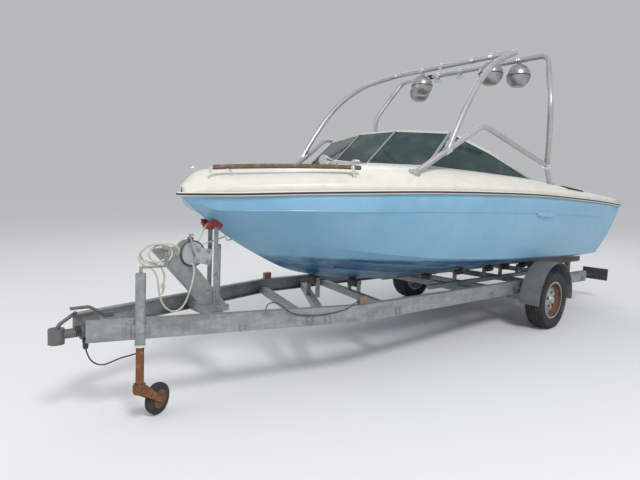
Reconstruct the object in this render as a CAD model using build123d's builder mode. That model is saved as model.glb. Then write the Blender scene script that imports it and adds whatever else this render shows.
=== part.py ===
"""Runabout speedboat with a stern drive, standing on its single-axle road trailer.

Millimetres. +X points to the bow, +Y to port and +Z up. The pieces are drawn level, with x = 0 at the
trailer's axle and z = 0 on the ground under it. At the end the whole rig is tipped nose-up about the
axle, as it stands on its jockey wheel, and moved so that the origin is under the middle of its box.
"""

import math
import os

from build123d import *

os.makedirs("parts", exist_ok=True)

# Stance
nose_up = 2.4  # degrees, about the axle
tyre_radius = 300.0

# Hull, by stations from the transom to the stem
hull_wall = 20.0
transom_thick = 45.0
transom_foot_x = -1400.0
transom_foot_z = 505.0
transom_rake = 13.5  # degrees, top further aft
# station x, keel z, chine y, chine z, knuckle y, knuckle z, sheer y, sheer z, deck crown z
stations = [
    (-1700.0, 505.0, 795.0, 716.0, 950.0, 1150.0, 975.0, 1322.0, 1400.0),
    (-600.0, 503.0, 826.0, 730.0, 992.0, 1180.0, 1020.0, 1355.0, 1455.0),
    (600.0, 502.0, 829.0, 752.0, 1000.0, 1199.0, 1032.0, 1370.0, 1522.0),
    (1500.0, 508.0, 791.0, 784.0, 980.0, 1194.0, 1010.0, 1357.0, 1532.0),
    (2150.0, 556.0, 693.0, 830.0, 893.0, 1187.0, 930.0, 1338.0, 1515.0),
    (2700.0, 655.0, 503.0, 893.0, 752.0, 1171.0, 780.0, 1311.0, 1468.0),
    (3100.0, 830.0, 236.0, 943.0, 570.0, 1162.0, 592.0, 1287.0, 1424.0),
    (3350.0, 975.0, 55.0, 1008.0, 375.0, 1150.0, 425.0, 1268.0, 1400.0),
    (3500.0, 1087.0, 20.0, 1100.0, 240.0, 1142.0, 290.0, 1257.0, 1382.0),
    (3670.0, 1228.0, 6.0, 1231.0, 14.0, 1236.0, 28.0, 1246.0, 1290.0),
]

# Deck
deck_wall = 15.0
deck_band = 50.0
deck_step = 14.0
crown_inset = 200.0
crown_share = 0.42  # of the half breadth, near the bow
camber = 35.0
rail_out = 20.0
rail_in = 4.0
rail_up = 14.0
rail_down = 12.0

# Cockpit
sole_z = 830.0
sole_thick = 20.0
liner_wall = 15.0
cockpit_half = 690.0
cockpit_aft_x = -1330.0
cockpit_fwd_x = 1930.0
cockpit_bow_half = 560.0
cockpit_shoulder_x = 1500.0

# Engine bay and its box
engine_size = (660.0, 460.0, 560.0)
engine_x = -830.0
engine_z = 630.0
bed_y = 170.0
bay_front_x = -440.0
bay_aft_x = -1190.0
bay_half = 420.0
box_wall = 20.0
box_top_z = 1240.0
lid_thick = 30.0
lid_gap = 6.0
pad_thick = 60.0

# Running gap under loose pads and lids
seat_gap = 0.5

# Radial clearance of a shaft in its hole
running = 0.1

# Seats
seat_x = 690.0
seat_y = 420.0
seat_width = 430.0
seat_length = 1080.0
seat_base_top = 1060.0
seat_board = 15.0
cushion = 90.0
back_top = 1450.0
back_thick = 90.0

# Helm consoles
console_aft_x = 1560.0
console_inner = 240.0
console_top_z = 1440.0
helm_y = -440.0
helm_z = 1300.0
helm_tilt = 25.0
wheel_rim_radius = 175.0
console_wall = 12.0

# Windscreen corners, port side: x, y, z
screen_bottom_centre = (2105.0, 220.0, 1556.0)
screen_bottom_corner = (1985.0, 745.0, 1532.0)
screen_top_corner = (1656.0, 712.0, 1831.0)
screen_top_centre = (1757.0, 220.0, 1870.0)
screen_side_mid = (1140.0, 770.0, 1713.0)
screen_side_end = (330.0, 780.0, 1520.0)
post_width = 24.0
post_thick = 20.0
glass_thick = 6.0

# Tower, port half: feet on the deck, then bends
hoop_tube = 45.0
hoop_foot_fwd = (2200.0, 800.0, 1465.0)
hoop_apex = (1545.0, 950.0, 1890.0)
hoop_bend = (340.0, 925.0, 1655.0)
hoop_foot_aft = (77.0, 860.0, 1470.0)
hoop_radii = (200.0, 110.0)
foot_radius = 42.0
foot_thick = 8.0
arch_tube = 50.0
front_arch = [(1907.0, 887.0, 1688.0), (1422.0, 801.0, 2298.0), (690.0, 670.0, 2680.0)]
front_arch_radii = (600.0, 70.0)
rear_arch = [(340.0, 930.0, 1662.0), (742.0, 1120.0, 2012.0), (368.0, 863.0, 2704.0)]
rear_arch_radii = (320.0, 150.0)
pod_size = (230.0, 250.0, 200.0)
pod_drop = 135.0
pod_neck = 20.0
clamp_wall = 8.0
clamp_width = 40.0
# x of the bar, y along it, z of the bar
front_bar_x = 690.0
front_bar_z = 2680.0
rear_bar_x = 368.0
rear_bar_z = 2704.0
pod_y = 450.0
lamp_y = 130.0
lamp_radius = 45.0

# Trailer frame
beam_height = 125.0
beam_width = 50.0
beam_web = 6.0
beam_bottom_z = 350.0
beam_nose = (4300.0, 115.0)
beam_kink = (2530.0, 630.0)
beam_tail = (-1450.0, 700.0)
cross_size = 60.0
cross_wall = 5.0
cross_places = (3400.0, 2700.0, 1900.0, 750.0, -350.0, -1350.0)
nose_length = 180.0
nose_plate = 8.0

# Road wheels
wheel_y = 885.0
tyre_width = 182.0
rim_radius = 191.0
rim_half = 76.0
spindle_radius = 22.0
fender_radius = 385.0
fender_thick = 5.0
fender_width = 205.0
fender_lift = 8.0
fender_stay_z = 425.0
fender_stay_x = 355.0

# Winch post and bow stop
winch_foot = (3420.0, 0.0, 480.0)
winch_head = (3765.0, 0.0, 870.0)
stop_x = 3400.0
stop_top_z = 1040.0

# Bunks
bunk_y = 500.0

# Jockey wheel
jockey_x = 4038.0
jockey_y = 272.0
jockey_tube = 60.0
jockey_tube_low = 320.0
jockey_tube_top = 765.0
jockey_inner = 48.0
stem_top = 520.0
jockey_clamp_z = 370.0
jockey_clamp_height = 80.0
fork_half = 32.0
fork_plate = 6.0
fork_pin = 6.0
jockey_trail = 170.0
jockey_turn = 30.0
jockey_radius = 100.0
jockey_width = 46.0

# Stern drive: pivot of the leg, and its outlines from there
drive_x = -1620.0
drive_z = 800.0
lug_gap = 125.0
lug_thick = 28.0
yoke_radius = 40.0
yoke_pin = 15.0
trunnion_reach = 70.0
trunnion_radius = 18.0
leg_upper = [(-120, -100), (-120, 50), (-170, 95), (-265, 95), (-292, 40), (-285, -100)]
leg_lower = [(-125, -90), (-285, -90), (-262, -240), (-275, -440), (-110, -440), (-150, -240)]
leg_plate_z = -240.0
leg_plate = [(-330, 60), (-300, 105), (-190, 105), (-110, 30), (-110, -30), (-190, -105), (-300, -105), (-330, -60)]
leg_skeg = [(-140, -30), (-175, -150), (-235, -165), (-265, -30)]
leg_half = 70.0
leg_slim = 26.0
shaft_z = 360.0
prop_radius = 165.0
prop_shaft = 13.0
prop_pitch = 55.0  # degrees between the blade and the axis' normal plane

# Fittings on the deck
horn_y = 350.0
horn_z = 1533.0
horn_bell_x = 2717.0
horn_tail_x = 2397.0
horn_bell = 86.0
stanchion_rows = [
    ((3408.0, 250.0, 1365.0), (3462.0, 250.0, 1432.0)),
    ((2721.0, 700.0, 1400.0), (2745.0, 700.0, 1468.0)),
]
stanchion_tube = 20.0
rail_bar = 34.0
rail_lead = 60.0
rail_tail = 60.0
vent_x = -467.0
vent_y = 905.0
vent_z = 1437.0
vent_length = 535.0
vent_width = 90.0
vent_lean = 13.0
vent_fall = 0.055
eye_x = 3290.0
eye_z = 946.0

# Rear light boards
light_x = -1750.0
light_y = 720.0
light_z = 420.0


def row_plane(x):
    """Plane across the boat at x, with its sketch axes along Y and Z."""
    return Plane(origin=(x, 0, 0), x_dir=(0, 1, 0), z_dir=(1, 0, 0))


def mirrored(points):
    """Half outline from the centreline out, closed by its mirror image."""
    other = [(-y, z) for y, z in reversed(points) if y > 0]
    return points + other


def skin(sections, mode=Mode.ADD):
    """Ruled loft through closed outlines, each given as (x, points)."""
    faces = []
    for x, points in sections:
        with BuildSketch(row_plane(x)) as outline:
            with BuildLine():
                Polyline(*points, close=True)
            make_face()
        faces.append(outline.sketch.faces()[0])
    loft(faces, ruled=True, mode=mode)


def hull_sections(wall=0.0, rise=0.0, rows=stations):
    """Hull outlines, set in by a wall and raised at the sheer by a rise."""
    sections = []
    for x, keel_z, chine_y, chine_z, knuckle_y, knuckle_z, sheer_y, sheer_z, _ in rows:
        half = [
            (0.0, keel_z + 1.05 * wall),
            (chine_y - wall, chine_z + 0.6 * wall),
            (knuckle_y - wall, knuckle_z),
            (sheer_y - wall, sheer_z + rise),
        ]
        sections.append((x, mirrored(half)))
    return sections


def deck_sections(wall=0.0, drop=0.0, rows=stations):
    """Deck outlines above the sheer, set in by a wall, with the foot lowered by a drop."""
    sections = []
    for x, _, _, _, _, _, sheer_y, sheer_z, crown_z in rows:
        share = min(1.0, sheer_y / 300.0)
        inset = min(crown_inset, crown_share * sheer_y)
        half = [
            (0.0, crown_z + camber * share - wall),
            (sheer_y - inset - 0.6 * wall, crown_z - wall),
            (sheer_y - 1.5 * deck_step * share - wall, sheer_z + (deck_band + 6.0) * share - 0.4 * wall),
            (sheer_y - 0.5 * deck_step * share - wall, sheer_z + deck_band * share - 0.6 * wall),
            (sheer_y - wall, sheer_z - drop),
        ]
        sections.append((x, mirrored(half)))
    return sections


def rail_sections(out, up, down):
    """Flat bar outlines across the boat at the sheer."""
    sections = []
    for row in stations:
        x, sheer_y, sheer_z = row[0], row[6], row[7]
        if row is stations[-1]:
            x = x + max(out, 0.0)
        half = [(sheer_y + out, sheer_z - down), (sheer_y + out, sheer_z + up)]
        points = half + [(-y, z) for y, z in reversed(half)]
        sections.append((x, points))
    return sections


def transom_plane(inset=0.0):
    """Raked plane of the transom's outer face, or one inset forward of it."""
    lean = math.radians(transom_rake)
    return Plane(
        origin=(transom_foot_x + inset, 0, transom_foot_z),
        x_dir=(0, 1, 0),
        z_dir=(math.cos(lean), 0, math.sin(lean)),
    )


def tube_along(points, radii, diameter, mode=Mode.ADD):
    """Round tube along straight runs joined by arcs."""
    with BuildLine() as path:
        FilletPolyline(*points, radius=radii)
    with BuildSketch(Plane(origin=path.line @ 0, z_dir=path.line % 0)) as profile:
        Circle(diameter / 2)
    sweep(profile.sketch, path=path.line, mode=mode)


def bar_between(start, end, diameter, mode=Mode.ADD):
    """Straight round bar from one point to another."""
    run = Vector(*end) - Vector(*start)
    with BuildSketch(Plane(origin=start, z_dir=run)) as profile:
        Circle(diameter / 2)
    extrude(profile.sketch, amount=run.length, mode=mode)


def block(low, high, mode=Mode.ADD):
    """Box from its low corner to its high corner."""
    size = [b - a for a, b in zip(low, high)]
    with Locations(low):
        Box(*size, align=(Align.MIN, Align.MIN, Align.MIN), mode=mode)


def other_side(point):
    return (point[0], -point[1], point[2])


def beam_y(x):
    """Centreline of the port beam at x."""
    a, b = (beam_nose, beam_kink) if x > beam_kink[0] else (beam_kink, beam_tail)
    return a[1] + (b[1] - a[1]) * (x - a[0]) / (b[0] - a[0])


def plan_cockpit(grow=0.0):
    """Plan outline of the cockpit well, grown outwards."""
    half = [
        (cockpit_aft_x - grow, cockpit_half + grow),
        (cockpit_shoulder_x, cockpit_half + grow),
        (cockpit_fwd_x + grow, cockpit_bow_half + grow),
    ]
    return half + [(x, -y) for x, y in reversed(half)]


# Hull shell: bottom, topsides and transom
with BuildPart() as hull_solid:
    skin(hull_sections())
    split(bisect_by=transom_plane(), keep=Keep.TOP)

with BuildPart() as hull_room:
    skin(hull_sections(hull_wall, rise=40.0, rows=stations[:-2]))
    split(bisect_by=transom_plane(transom_thick), keep=Keep.TOP)

with BuildPart() as hull:
    add(hull_solid.part)
    add(hull_room.part, mode=Mode.SUBTRACT)

# Deck moulding with the cockpit opening
with BuildPart() as deck_solid:
    skin(deck_sections())
    split(bisect_by=transom_plane(), keep=Keep.TOP)

with BuildPart() as deck_room:
    skin(deck_sections(deck_wall, drop=30.0, rows=stations[:-1]))
    split(bisect_by=transom_plane(transom_thick), keep=Keep.TOP)

with BuildPart() as deck:
    add(deck_solid.part)
    add(deck_room.part, mode=Mode.SUBTRACT)
    with BuildSketch(Plane.XY.offset(sole_z)):
        Polygon(*plan_cockpit(), align=None)
    extrude(amount=1000, mode=Mode.SUBTRACT)

# Rubbing strake round the sheer
with BuildPart() as rubrail:
    skin(rail_sections(rail_out, rail_up, rail_down))
    skin(rail_sections(-rail_in, rail_up + 10, rail_down + 10), mode=Mode.SUBTRACT)
    split(bisect_by=transom_plane(), keep=Keep.TOP)
    add(hull_solid.part, mode=Mode.SUBTRACT)
    add(deck_solid.part, mode=Mode.SUBTRACT)

# Cockpit liner: sole, sides and bulkheads, open over the engine bay
with BuildPart() as under_deck:
    add(hull_room.part)
    add(deck_room.part)

with BuildPart() as liner:
    with BuildSketch(Plane.XY.offset(sole_z - sole_thick)):
        Polygon(*plan_cockpit(liner_wall), align=None)
    extrude(amount=1000)
    with BuildSketch(Plane.XY.offset(sole_z)):
        Polygon(*plan_cockpit(), align=None)
    extrude(amount=1000, mode=Mode.SUBTRACT)
    block((bay_aft_x, -bay_half, sole_z - 100), (bay_front_x, bay_half, sole_z + 10), Mode.SUBTRACT)
    add(under_deck.part, mode=Mode.INTERSECT)

# Engine, one plain block low in the hull
with BuildPart() as engine:
    block(
        (engine_x - engine_size[0] / 2, -engine_size[1] / 2, engine_z),
        (engine_x + engine_size[0] / 2, engine_size[1] / 2, engine_z + engine_size[2]),
    )
    add(hull_solid.part, mode=Mode.INTERSECT)
    add(hull_room.part, mode=Mode.INTERSECT)

with BuildPart() as engine_beds:
    for side in (1, -1):
        block(
            (engine_x - engine_size[0] / 2, side * bed_y - 30, transom_foot_z),
            (engine_x + engine_size[0] / 2, side * bed_y + 30, engine_z),
        )
    add(hull_room.part, mode=Mode.INTERSECT)

with BuildPart() as engine_box:
    block(
        (bay_aft_x - box_wall, -bay_half - box_wall, sole_z),
        (bay_front_x + box_wall, bay_half + box_wall, box_top_z),
    )
    block((bay_aft_x, -bay_half, sole_z), (bay_front_x, bay_half, box_top_z), Mode.SUBTRACT)

with BuildPart() as engine_lid:
    block(
        (bay_aft_x - box_wall, -bay_half - box_wall, box_top_z + seat_gap),
        (bay_front_x + box_wall, bay_half + box_wall, box_top_z + lid_thick),
    )
    fillet(engine_lid.edges().filter_by(Axis.Z), 15)

with BuildPart() as lid_pad:
    block(
        (bay_aft_x, -bay_half, box_top_z + lid_thick + seat_gap),
        (bay_front_x, bay_half, box_top_z + lid_thick + pad_thick),
    )
    fillet(lid_pad.edges().filter_by(Axis.Z), 40)
    fillet(lid_pad.faces().sort_by(Axis.Z)[-1].edges(), 20)

# Back-to-back seats, one each side
with BuildPart() as seat_bases:
    for side in (1, -1):
        with Locations((seat_x, side * seat_y, sole_z)):
            Box(seat_length, seat_width, seat_base_top - sole_z, align=(Align.CENTER, Align.CENTER, Align.MIN))
            Box(
                seat_length - 2 * seat_board,
                seat_width - 2 * seat_board,
                seat_base_top - sole_z - seat_board,
                align=(Align.CENTER, Align.CENTER, Align.MIN),
                mode=Mode.SUBTRACT,
            )

with BuildPart() as seat_pads:
    for side in (1, -1):
        for end in (1, -1):
            with Locations((seat_x + end * seat_length / 4, side * seat_y, seat_base_top + seat_gap)):
                Box(
                    seat_length / 2 - 6,
                    seat_width,
                    cushion,
                    align=(Align.CENTER, Align.CENTER, Align.MIN),
                )
    fillet(seat_pads.edges().filter_by(Axis.Z), 30)

with BuildPart() as seat_backs:
    with BuildSketch(Plane.XZ.offset(-seat_y - seat_width / 2)):
        with BuildLine():
            Polyline(
                (seat_x - 160, seat_base_top + cushion + 2 * seat_gap),
                (seat_x + 160, seat_base_top + cushion + 2 * seat_gap),
                (seat_x + back_thick, back_top - 60),
                (seat_x + back_thick / 2, back_top),
                (seat_x - back_thick / 2, back_top),
                (seat_x - back_thick, back_top - 60),
                close=True,
            )
        make_face()
    extrude(amount=seat_width)
    mirror(about=Plane.XZ)

with BuildPart() as aft_pads:
    for side in (1, -1):
        with Locations((-1010.0, side * 570.0, sole_z)):
            Box(600, 220, 330, align=(Align.CENTER, Align.CENTER, Align.MIN))
    fillet(aft_pads.edges().filter_by(Axis.Z), 30)

# Helm consoles either side of the walkway, and the helm
console_outline = [
    (console_aft_x + 90, sole_z),
    (cockpit_fwd_x + 20, sole_z),
    (cockpit_fwd_x + 20, console_top_z + 30),
    (console_aft_x + 120, console_top_z),
    (console_aft_x, console_top_z - 150),
    (console_aft_x, console_top_z - 260),
]
with BuildPart() as consoles:
    with BuildSketch(Plane.XZ.offset(-cockpit_half - 10)) as shell:
        Polygon(*console_outline, align=None)
        offset(amount=-console_wall, mode=Mode.SUBTRACT)
    extrude(shell.sketch, amount=2 * cockpit_half + 20)
    with BuildSketch(Plane.XZ.offset(-console_inner - console_wall)) as cheek:
        Polygon(*console_outline, align=None)
    extrude(cheek.sketch, amount=2 * console_inner + 2 * console_wall)
    block((0, -console_inner, 0), (5000, console_inner, 3000), Mode.SUBTRACT)
    with BuildSketch(Plane.XY.offset(sole_z)) as well:
        Polygon(*plan_cockpit(-0.5), align=None)
    extrude(well.sketch, amount=1000, mode=Mode.INTERSECT)

helm_lean = math.radians(helm_tilt)
helm_out = Vector(-math.cos(helm_lean), 0, math.sin(helm_lean))
helm_centre = Vector(console_aft_x - 110, helm_y, helm_z)

with BuildPart() as helm_column:
    bar_between(tuple(helm_centre - helm_out * 160), tuple(helm_centre - helm_out * 40), 56)
    block((console_aft_x, helm_y - 50, 1000), (console_aft_x + 200, helm_y + 50, 1500), Mode.SUBTRACT)

with BuildPart() as steering_wheel:
    with BuildSketch(Plane(origin=helm_centre, x_dir=(0, 1, 0), z_dir=helm_out)):
        Circle(wheel_rim_radius)
        Circle(wheel_rim_radius - 26, mode=Mode.SUBTRACT)
        Circle(45)
        with PolarLocations(0, 3, start_angle=90):
            with Locations((wheel_rim_radius / 2, 0)):
                Rectangle(wheel_rim_radius - 20, 34)
    extrude(amount=13, both=True)
    bar_between(tuple(helm_centre - helm_out * 39.7), tuple(helm_centre), 44)

# Windscreen: a flat frame round each pane, and the panes inside them
def pane_plane(corners):
    a, b, c = [Vector(*corner) for corner in corners[:3]]
    return Plane(origin=a, x_dir=b - a, z_dir=(b - a).cross(c - a))


def pane_outline(corners, plane):
    """Corners of a pane laid on its plane, as sketch points."""
    flat = [plane.to_local_coords(Vector(*corner)) for corner in corners]
    return [(point.X, point.Y) for point in flat]


front_pane = [screen_bottom_centre, screen_bottom_corner, screen_top_corner, screen_top_centre]
side_pane = [screen_bottom_corner, screen_side_end, screen_side_mid, screen_top_corner]
middle_pane = [
    screen_bottom_centre,
    other_side(screen_bottom_centre),
    other_side(screen_top_centre),
    screen_top_centre,
]
panes = [front_pane, side_pane, middle_pane]
panes += [[other_side(point) for point in corners] for corners in (front_pane, side_pane)]

with BuildPart() as windscreen_frame:
    for corners in panes:
        plane = pane_plane(corners)
        with BuildSketch(plane) as border:
            Polygon(*pane_outline(corners, plane), align=None)
            offset(amount=-post_width, mode=Mode.SUBTRACT)
        extrude(border.sketch, amount=post_thick / 2, both=True)
    add(deck_solid.part, mode=Mode.SUBTRACT)

with BuildPart() as windscreen_glass:
    for corners in panes:
        plane = pane_plane(corners)
        with BuildSketch(plane) as light:
            Polygon(*pane_outline(corners, plane), align=None)
            offset(amount=-post_width, mode=Mode.REPLACE)
        extrude(light.sketch, amount=glass_thick / 2, both=True)
    add(deck_solid.part, mode=Mode.SUBTRACT)

# Tower: side hoops on the deck, and two arches across
with BuildPart() as tower_hoops:
    for flip in (lambda point: point, other_side):
        points = [flip(hoop_foot_fwd), flip(hoop_apex), flip(hoop_bend), flip(hoop_foot_aft)]
        tube_along(points, hoop_radii, hoop_tube)
        for foot in (points[0], points[-1]):
            with Locations(foot):
                Cylinder(foot_radius, 60)
    add(deck_solid.part, mode=Mode.SUBTRACT)


def arch_points(half):
    return half + [other_side(point) for point in reversed(half)]


def arch_radii(half):
    return tuple(half) + tuple(reversed(half))


with BuildPart() as front_arch_bar:
    tube_along(arch_points(front_arch), arch_radii(front_arch_radii), arch_tube)
    add(tower_hoops.part, mode=Mode.SUBTRACT)

with BuildPart() as rear_arch_bar:
    tube_along(arch_points(rear_arch), arch_radii(rear_arch_radii), arch_tube)
    add(tower_hoops.part, mode=Mode.SUBTRACT)

with BuildPart() as speaker_pods:
    for bar_x, bar_z in ((front_bar_x, front_bar_z), (rear_bar_x, rear_bar_z)):
        for side in (1, -1):
            with Locations((bar_x, side * pod_y, bar_z - pod_drop)):
                Sphere(pod_size[2] / 2)
            with Locations((bar_x, side * pod_y, bar_z)):
                Box(2 * pod_neck, 0.8 * clamp_width, pod_drop, align=(Align.CENTER, Align.CENTER, Align.MAX))
                Cylinder(arch_tube / 2 + clamp_wall, clamp_width, rotation=(90, 0, 0))
                Cylinder(arch_tube / 2, 2 * clamp_width, rotation=(90, 0, 0), mode=Mode.SUBTRACT)

# Trailer side beams: channels open to the inside
beam_top_z = beam_bottom_z + beam_height
with BuildPart() as beam_cores:
    for side in (1, -1):
        with BuildSketch(Plane.XY.offset(beam_bottom_z)) as plan:
            with BuildLine() as line:
                Polyline(*[(x, side * y) for x, y in (beam_nose, beam_kink, beam_tail)])
            trace(line_width=beam_width)
        extrude(plan.sketch, amount=beam_height)

with BuildPart() as side_beams:
    add(beam_cores.part)
    for side in (1, -1):
        with BuildSketch(Plane.XY.offset(beam_bottom_z + beam_web)) as pocket:
            with BuildLine() as line:
                Polyline(*[(x, side * (y - beam_web)) for x, y in (beam_nose, beam_kink, beam_tail)])
            trace(line_width=beam_width)
        extrude(pocket.sketch, amount=beam_height - 2 * beam_web, mode=Mode.SUBTRACT)

def plan_inside(grow):
    """Plan outline between the beams' centrelines, grown outwards."""
    half = [(x, y + grow) for x, y in (beam_nose, beam_kink, beam_tail)]
    return half + [(x, -y) for x, y in reversed(half)]


cross_top_z = beam_bottom_z + beam_web + cross_size
nose_top_z = beam_bottom_z + beam_height - beam_web
with BuildPart() as cross_members:
    for x in cross_places:
        with Locations((x, 0, cross_top_z - cross_size / 2)):
            Box(cross_size, 3 * beam_kink[1], cross_size)
            Box(cross_size - 2 * cross_wall, 3 * beam_kink[1], cross_size - 2 * cross_wall, mode=Mode.SUBTRACT)
    with Locations((beam_nose[0] - nose_length / 2, 0, beam_bottom_z + beam_height / 2)):
        Box(nose_length, 3 * beam_nose[1], beam_height - 2 * beam_web)
        with Locations((0, 0, -nose_plate)):
            Box(nose_length, 3 * beam_nose[1], beam_height - 2 * beam_web, mode=Mode.SUBTRACT)
    with BuildSketch(Plane.XY):
        Polygon(*plan_inside(beam_width / 2 - beam_web), align=None)
    extrude(amount=1000, mode=Mode.INTERSECT)
    add(side_beams.part, mode=Mode.SUBTRACT)

with BuildPart() as axle:
    with Locations((120, 0, beam_bottom_z - 40)):
        Box(80, 2 * 760, 80)
    for side in (1, -1):
        with Locations((50, side * 748, tyre_radius)):
            Box(180, 24, 70)
        bar_between((0, side * 745, tyre_radius), (0, side * (wheel_y + 46), tyre_radius), 2 * spindle_radius)

# Road wheels: the rim's section is turned about the axle, and the tyre is cut to it
with BuildPart() as rim:
    with BuildSketch(Plane.YZ):
        with BuildLine():
            Polyline(
                (-rim_half, rim_radius),
                (-rim_half, rim_radius - 14),
                (-rim_half + 30, rim_radius - 14),
                (-rim_half + 45, rim_radius - 34),
                (10, rim_radius - 34),
                (10, 118),
                (20, 90),
                (20, 58),
                (-50, 52),
                (-50, spindle_radius + running),
                (36, spindle_radius + running),
                (44, 62),
                (44, 92),
                (26, 122),
                (26, rim_radius - 34),
                (rim_half - 30, rim_radius - 14),
                (rim_half, rim_radius - 14),
                (rim_half, rim_radius),
                (rim_half - 6, rim_radius),
                (rim_half - 6, rim_radius - 8),
                (rim_half - 32, rim_radius - 8),
                (30, rim_radius - 28),
                (-rim_half + 48, rim_radius - 28),
                (-rim_half + 32, rim_radius - 8),
                (-rim_half + 6, rim_radius - 8),
                (-rim_half + 6, rim_radius),
                close=True,
            )
        make_face()
    revolve(axis=Axis.Y)

with BuildPart() as tyre:
    with BuildSketch(Plane.YZ):
        with BuildLine():
            Polyline(
                (-rim_half + 6, rim_radius - 8),
                (-rim_half + 6, rim_radius + 8),
                (-tyre_width / 2, rim_radius + 45),
                (-tyre_width / 2 + 6, tyre_radius - 26),
                (-tyre_width / 2 + 24, tyre_radius - 5),
                (-tyre_width / 2 + 50, tyre_radius),
                (tyre_width / 2 - 50, tyre_radius),
                (tyre_width / 2 - 24, tyre_radius - 5),
                (tyre_width / 2 - 6, tyre_radius - 26),
                (tyre_width / 2, rim_radius + 45),
                (rim_half - 6, rim_radius + 8),
                (rim_half - 6, rim_radius - 8),
                (rim_half - 22, rim_radius - 8),
                (rim_half - 22, rim_radius + 12),
                (tyre_width / 2 - 12, rim_radius + 45),
                (tyre_width / 2 - 18, tyre_radius - 30),
                (tyre_width / 2 - 34, tyre_radius - 18),
                (-tyre_width / 2 + 34, tyre_radius - 18),
                (-tyre_width / 2 + 18, tyre_radius - 30),
                (-tyre_width / 2 + 12, rim_radius + 45),
                (-rim_half + 22, rim_radius + 12),
                (-rim_half + 22, rim_radius - 8),
                close=True,
            )
        make_face()
    revolve(axis=Axis.Y)

hub_port = Pos(0, wheel_y, tyre_radius)
hub_starboard = Pos(0, -wheel_y, tyre_radius) * Rot(0, 0, 180)

# Fenders
with BuildPart() as fenders:
    for side in (1, -1):
        with BuildSketch(Plane.XZ.offset(-side * (wheel_y - fender_width / 2))) as arc:
            with Locations((0, tyre_radius + fender_lift)):
                Circle(fender_radius)
                Circle(fender_radius - fender_thick, mode=Mode.SUBTRACT)
            with Locations((0, tyre_radius - 20 - fender_radius / 2)):
                Rectangle(3 * fender_radius, fender_radius, mode=Mode.SUBTRACT)
        extrude(arc.sketch, amount=-side * fender_width)
        for end in (1, -1):
            inner = beam_y(0)
            outer = wheel_y - fender_width / 2 + 12
            with Locations((end * fender_stay_x, side * (inner + outer) / 2, fender_stay_z)):
                Box(40, outer - inner, 6)
    add(beam_cores.part, mode=Mode.SUBTRACT)

# Coupling
with BuildPart() as coupling:
    bar_between((4200.0, 0, 385.0), (4300.0, 0, 385.0), 90)
    bar_between((4300.0, 0, 385.0), (4400.0, 0, 385.0), 56)
    with Locations((4430.0, 0, 378.0)):
        Cylinder(45, 90)
    with Locations((4430.0, 0, 350.0)):
        Sphere(25.4, mode=Mode.SUBTRACT)
        Cylinder(25.4, 40, align=(Align.CENTER, Align.CENTER, Align.MAX), mode=Mode.SUBTRACT)
    tube_along([(4430, 0, 420), (4410, 0, 450), (4320, 0, 510)], 30, 22)
    block((4195.0, -45.0, 385.0), (4285.0, 45.0, nose_top_z - nose_plate))

# Winch post and bow stop
with BuildPart() as winch_arm:
    bar_between(winch_foot, winch_head, 90)
    with Locations((cross_places[0], 0, cross_top_z)):
        Box(180, 160, 50, align=(Align.CENTER, Align.CENTER, Align.MIN))

with BuildPart() as bow_stop:
    block((stop_x, -30.0, 500.0), (stop_x + 60, 30.0, stop_top_z))
    block((stop_x - 50, -70.0, stop_top_z - 60), (stop_x + 70, 70.0, stop_top_z + 20))
    add(hull_solid.part, mode=Mode.SUBTRACT)
    add(winch_arm.part, mode=Mode.SUBTRACT)

# Bunks under the hull
with BuildPart() as bunks:
    for side in (1, -1):
        block((-1480.0, side * bunk_y - 45, 560.0), (1500.0, side * bunk_y + 45, 700.0))
    add(hull_solid.part, mode=Mode.SUBTRACT)

with BuildPart() as bunk_posts:
    for side in (1, -1):
        for x in cross_places[3:]:
            block((x - 25, side * bunk_y - 30, cross_top_z), (x + 25, side * bunk_y + 30, 600.0))
    add(bunks.part, mode=Mode.SUBTRACT)

# Jockey wheel: clamped tube, stem that slides in it, swivelling fork and wheel
lean = math.radians(nose_up)
turn = math.radians(jockey_turn)
jockey_ahead = Vector(math.cos(turn), math.sin(turn), 0)
jockey_out = Vector(-math.sin(turn), math.cos(turn), 0)
jockey_foot = Vector(jockey_x, jockey_y, 0) - jockey_ahead * jockey_trail
jockey_centre = Vector(
    jockey_foot.X,
    jockey_foot.Y,
    tyre_radius + (jockey_radius - tyre_radius) / math.cos(lean) - jockey_foot.X * math.tan(lean),
)
crown_z = jockey_centre.Z + jockey_radius + 45

with BuildPart() as jockey_outer:
    bar_between((jockey_x, jockey_y, jockey_tube_low), (jockey_x, jockey_y, jockey_tube_top), jockey_tube)
    beam_run = Vector(beam_kink[0] - beam_nose[0], beam_kink[1] - beam_nose[1], 0).normalized()
    to_beam = (jockey_y - beam_y(jockey_x)) * abs(beam_run.X) - beam_width / 2
    clamp_plane = Plane(origin=(jockey_x, jockey_y, jockey_clamp_z), x_dir=-beam_run, z_dir=(0, 0, 1))
    with BuildSketch(clamp_plane) as clamp:
        with Locations((0, -to_beam)):
            Rectangle(90, to_beam - 10, align=(Align.CENTER, Align.MIN))
    extrude(clamp.sketch, amount=jockey_clamp_height)
    bar_between(
        (jockey_x, jockey_y, jockey_tube_low - 1),
        (jockey_x, jockey_y, jockey_tube_top - 8),
        jockey_inner + 2 * running,
        Mode.SUBTRACT,
    )

with BuildPart() as jockey_stem:
    bar_between((jockey_x, jockey_y, crown_z + 10), (jockey_x, jockey_y, stem_top), jockey_inner)
    bar_between(
        (jockey_x, jockey_y, crown_z + 40), (jockey_x, jockey_y, stem_top + 1), jockey_inner - 8, Mode.SUBTRACT
    )

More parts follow.
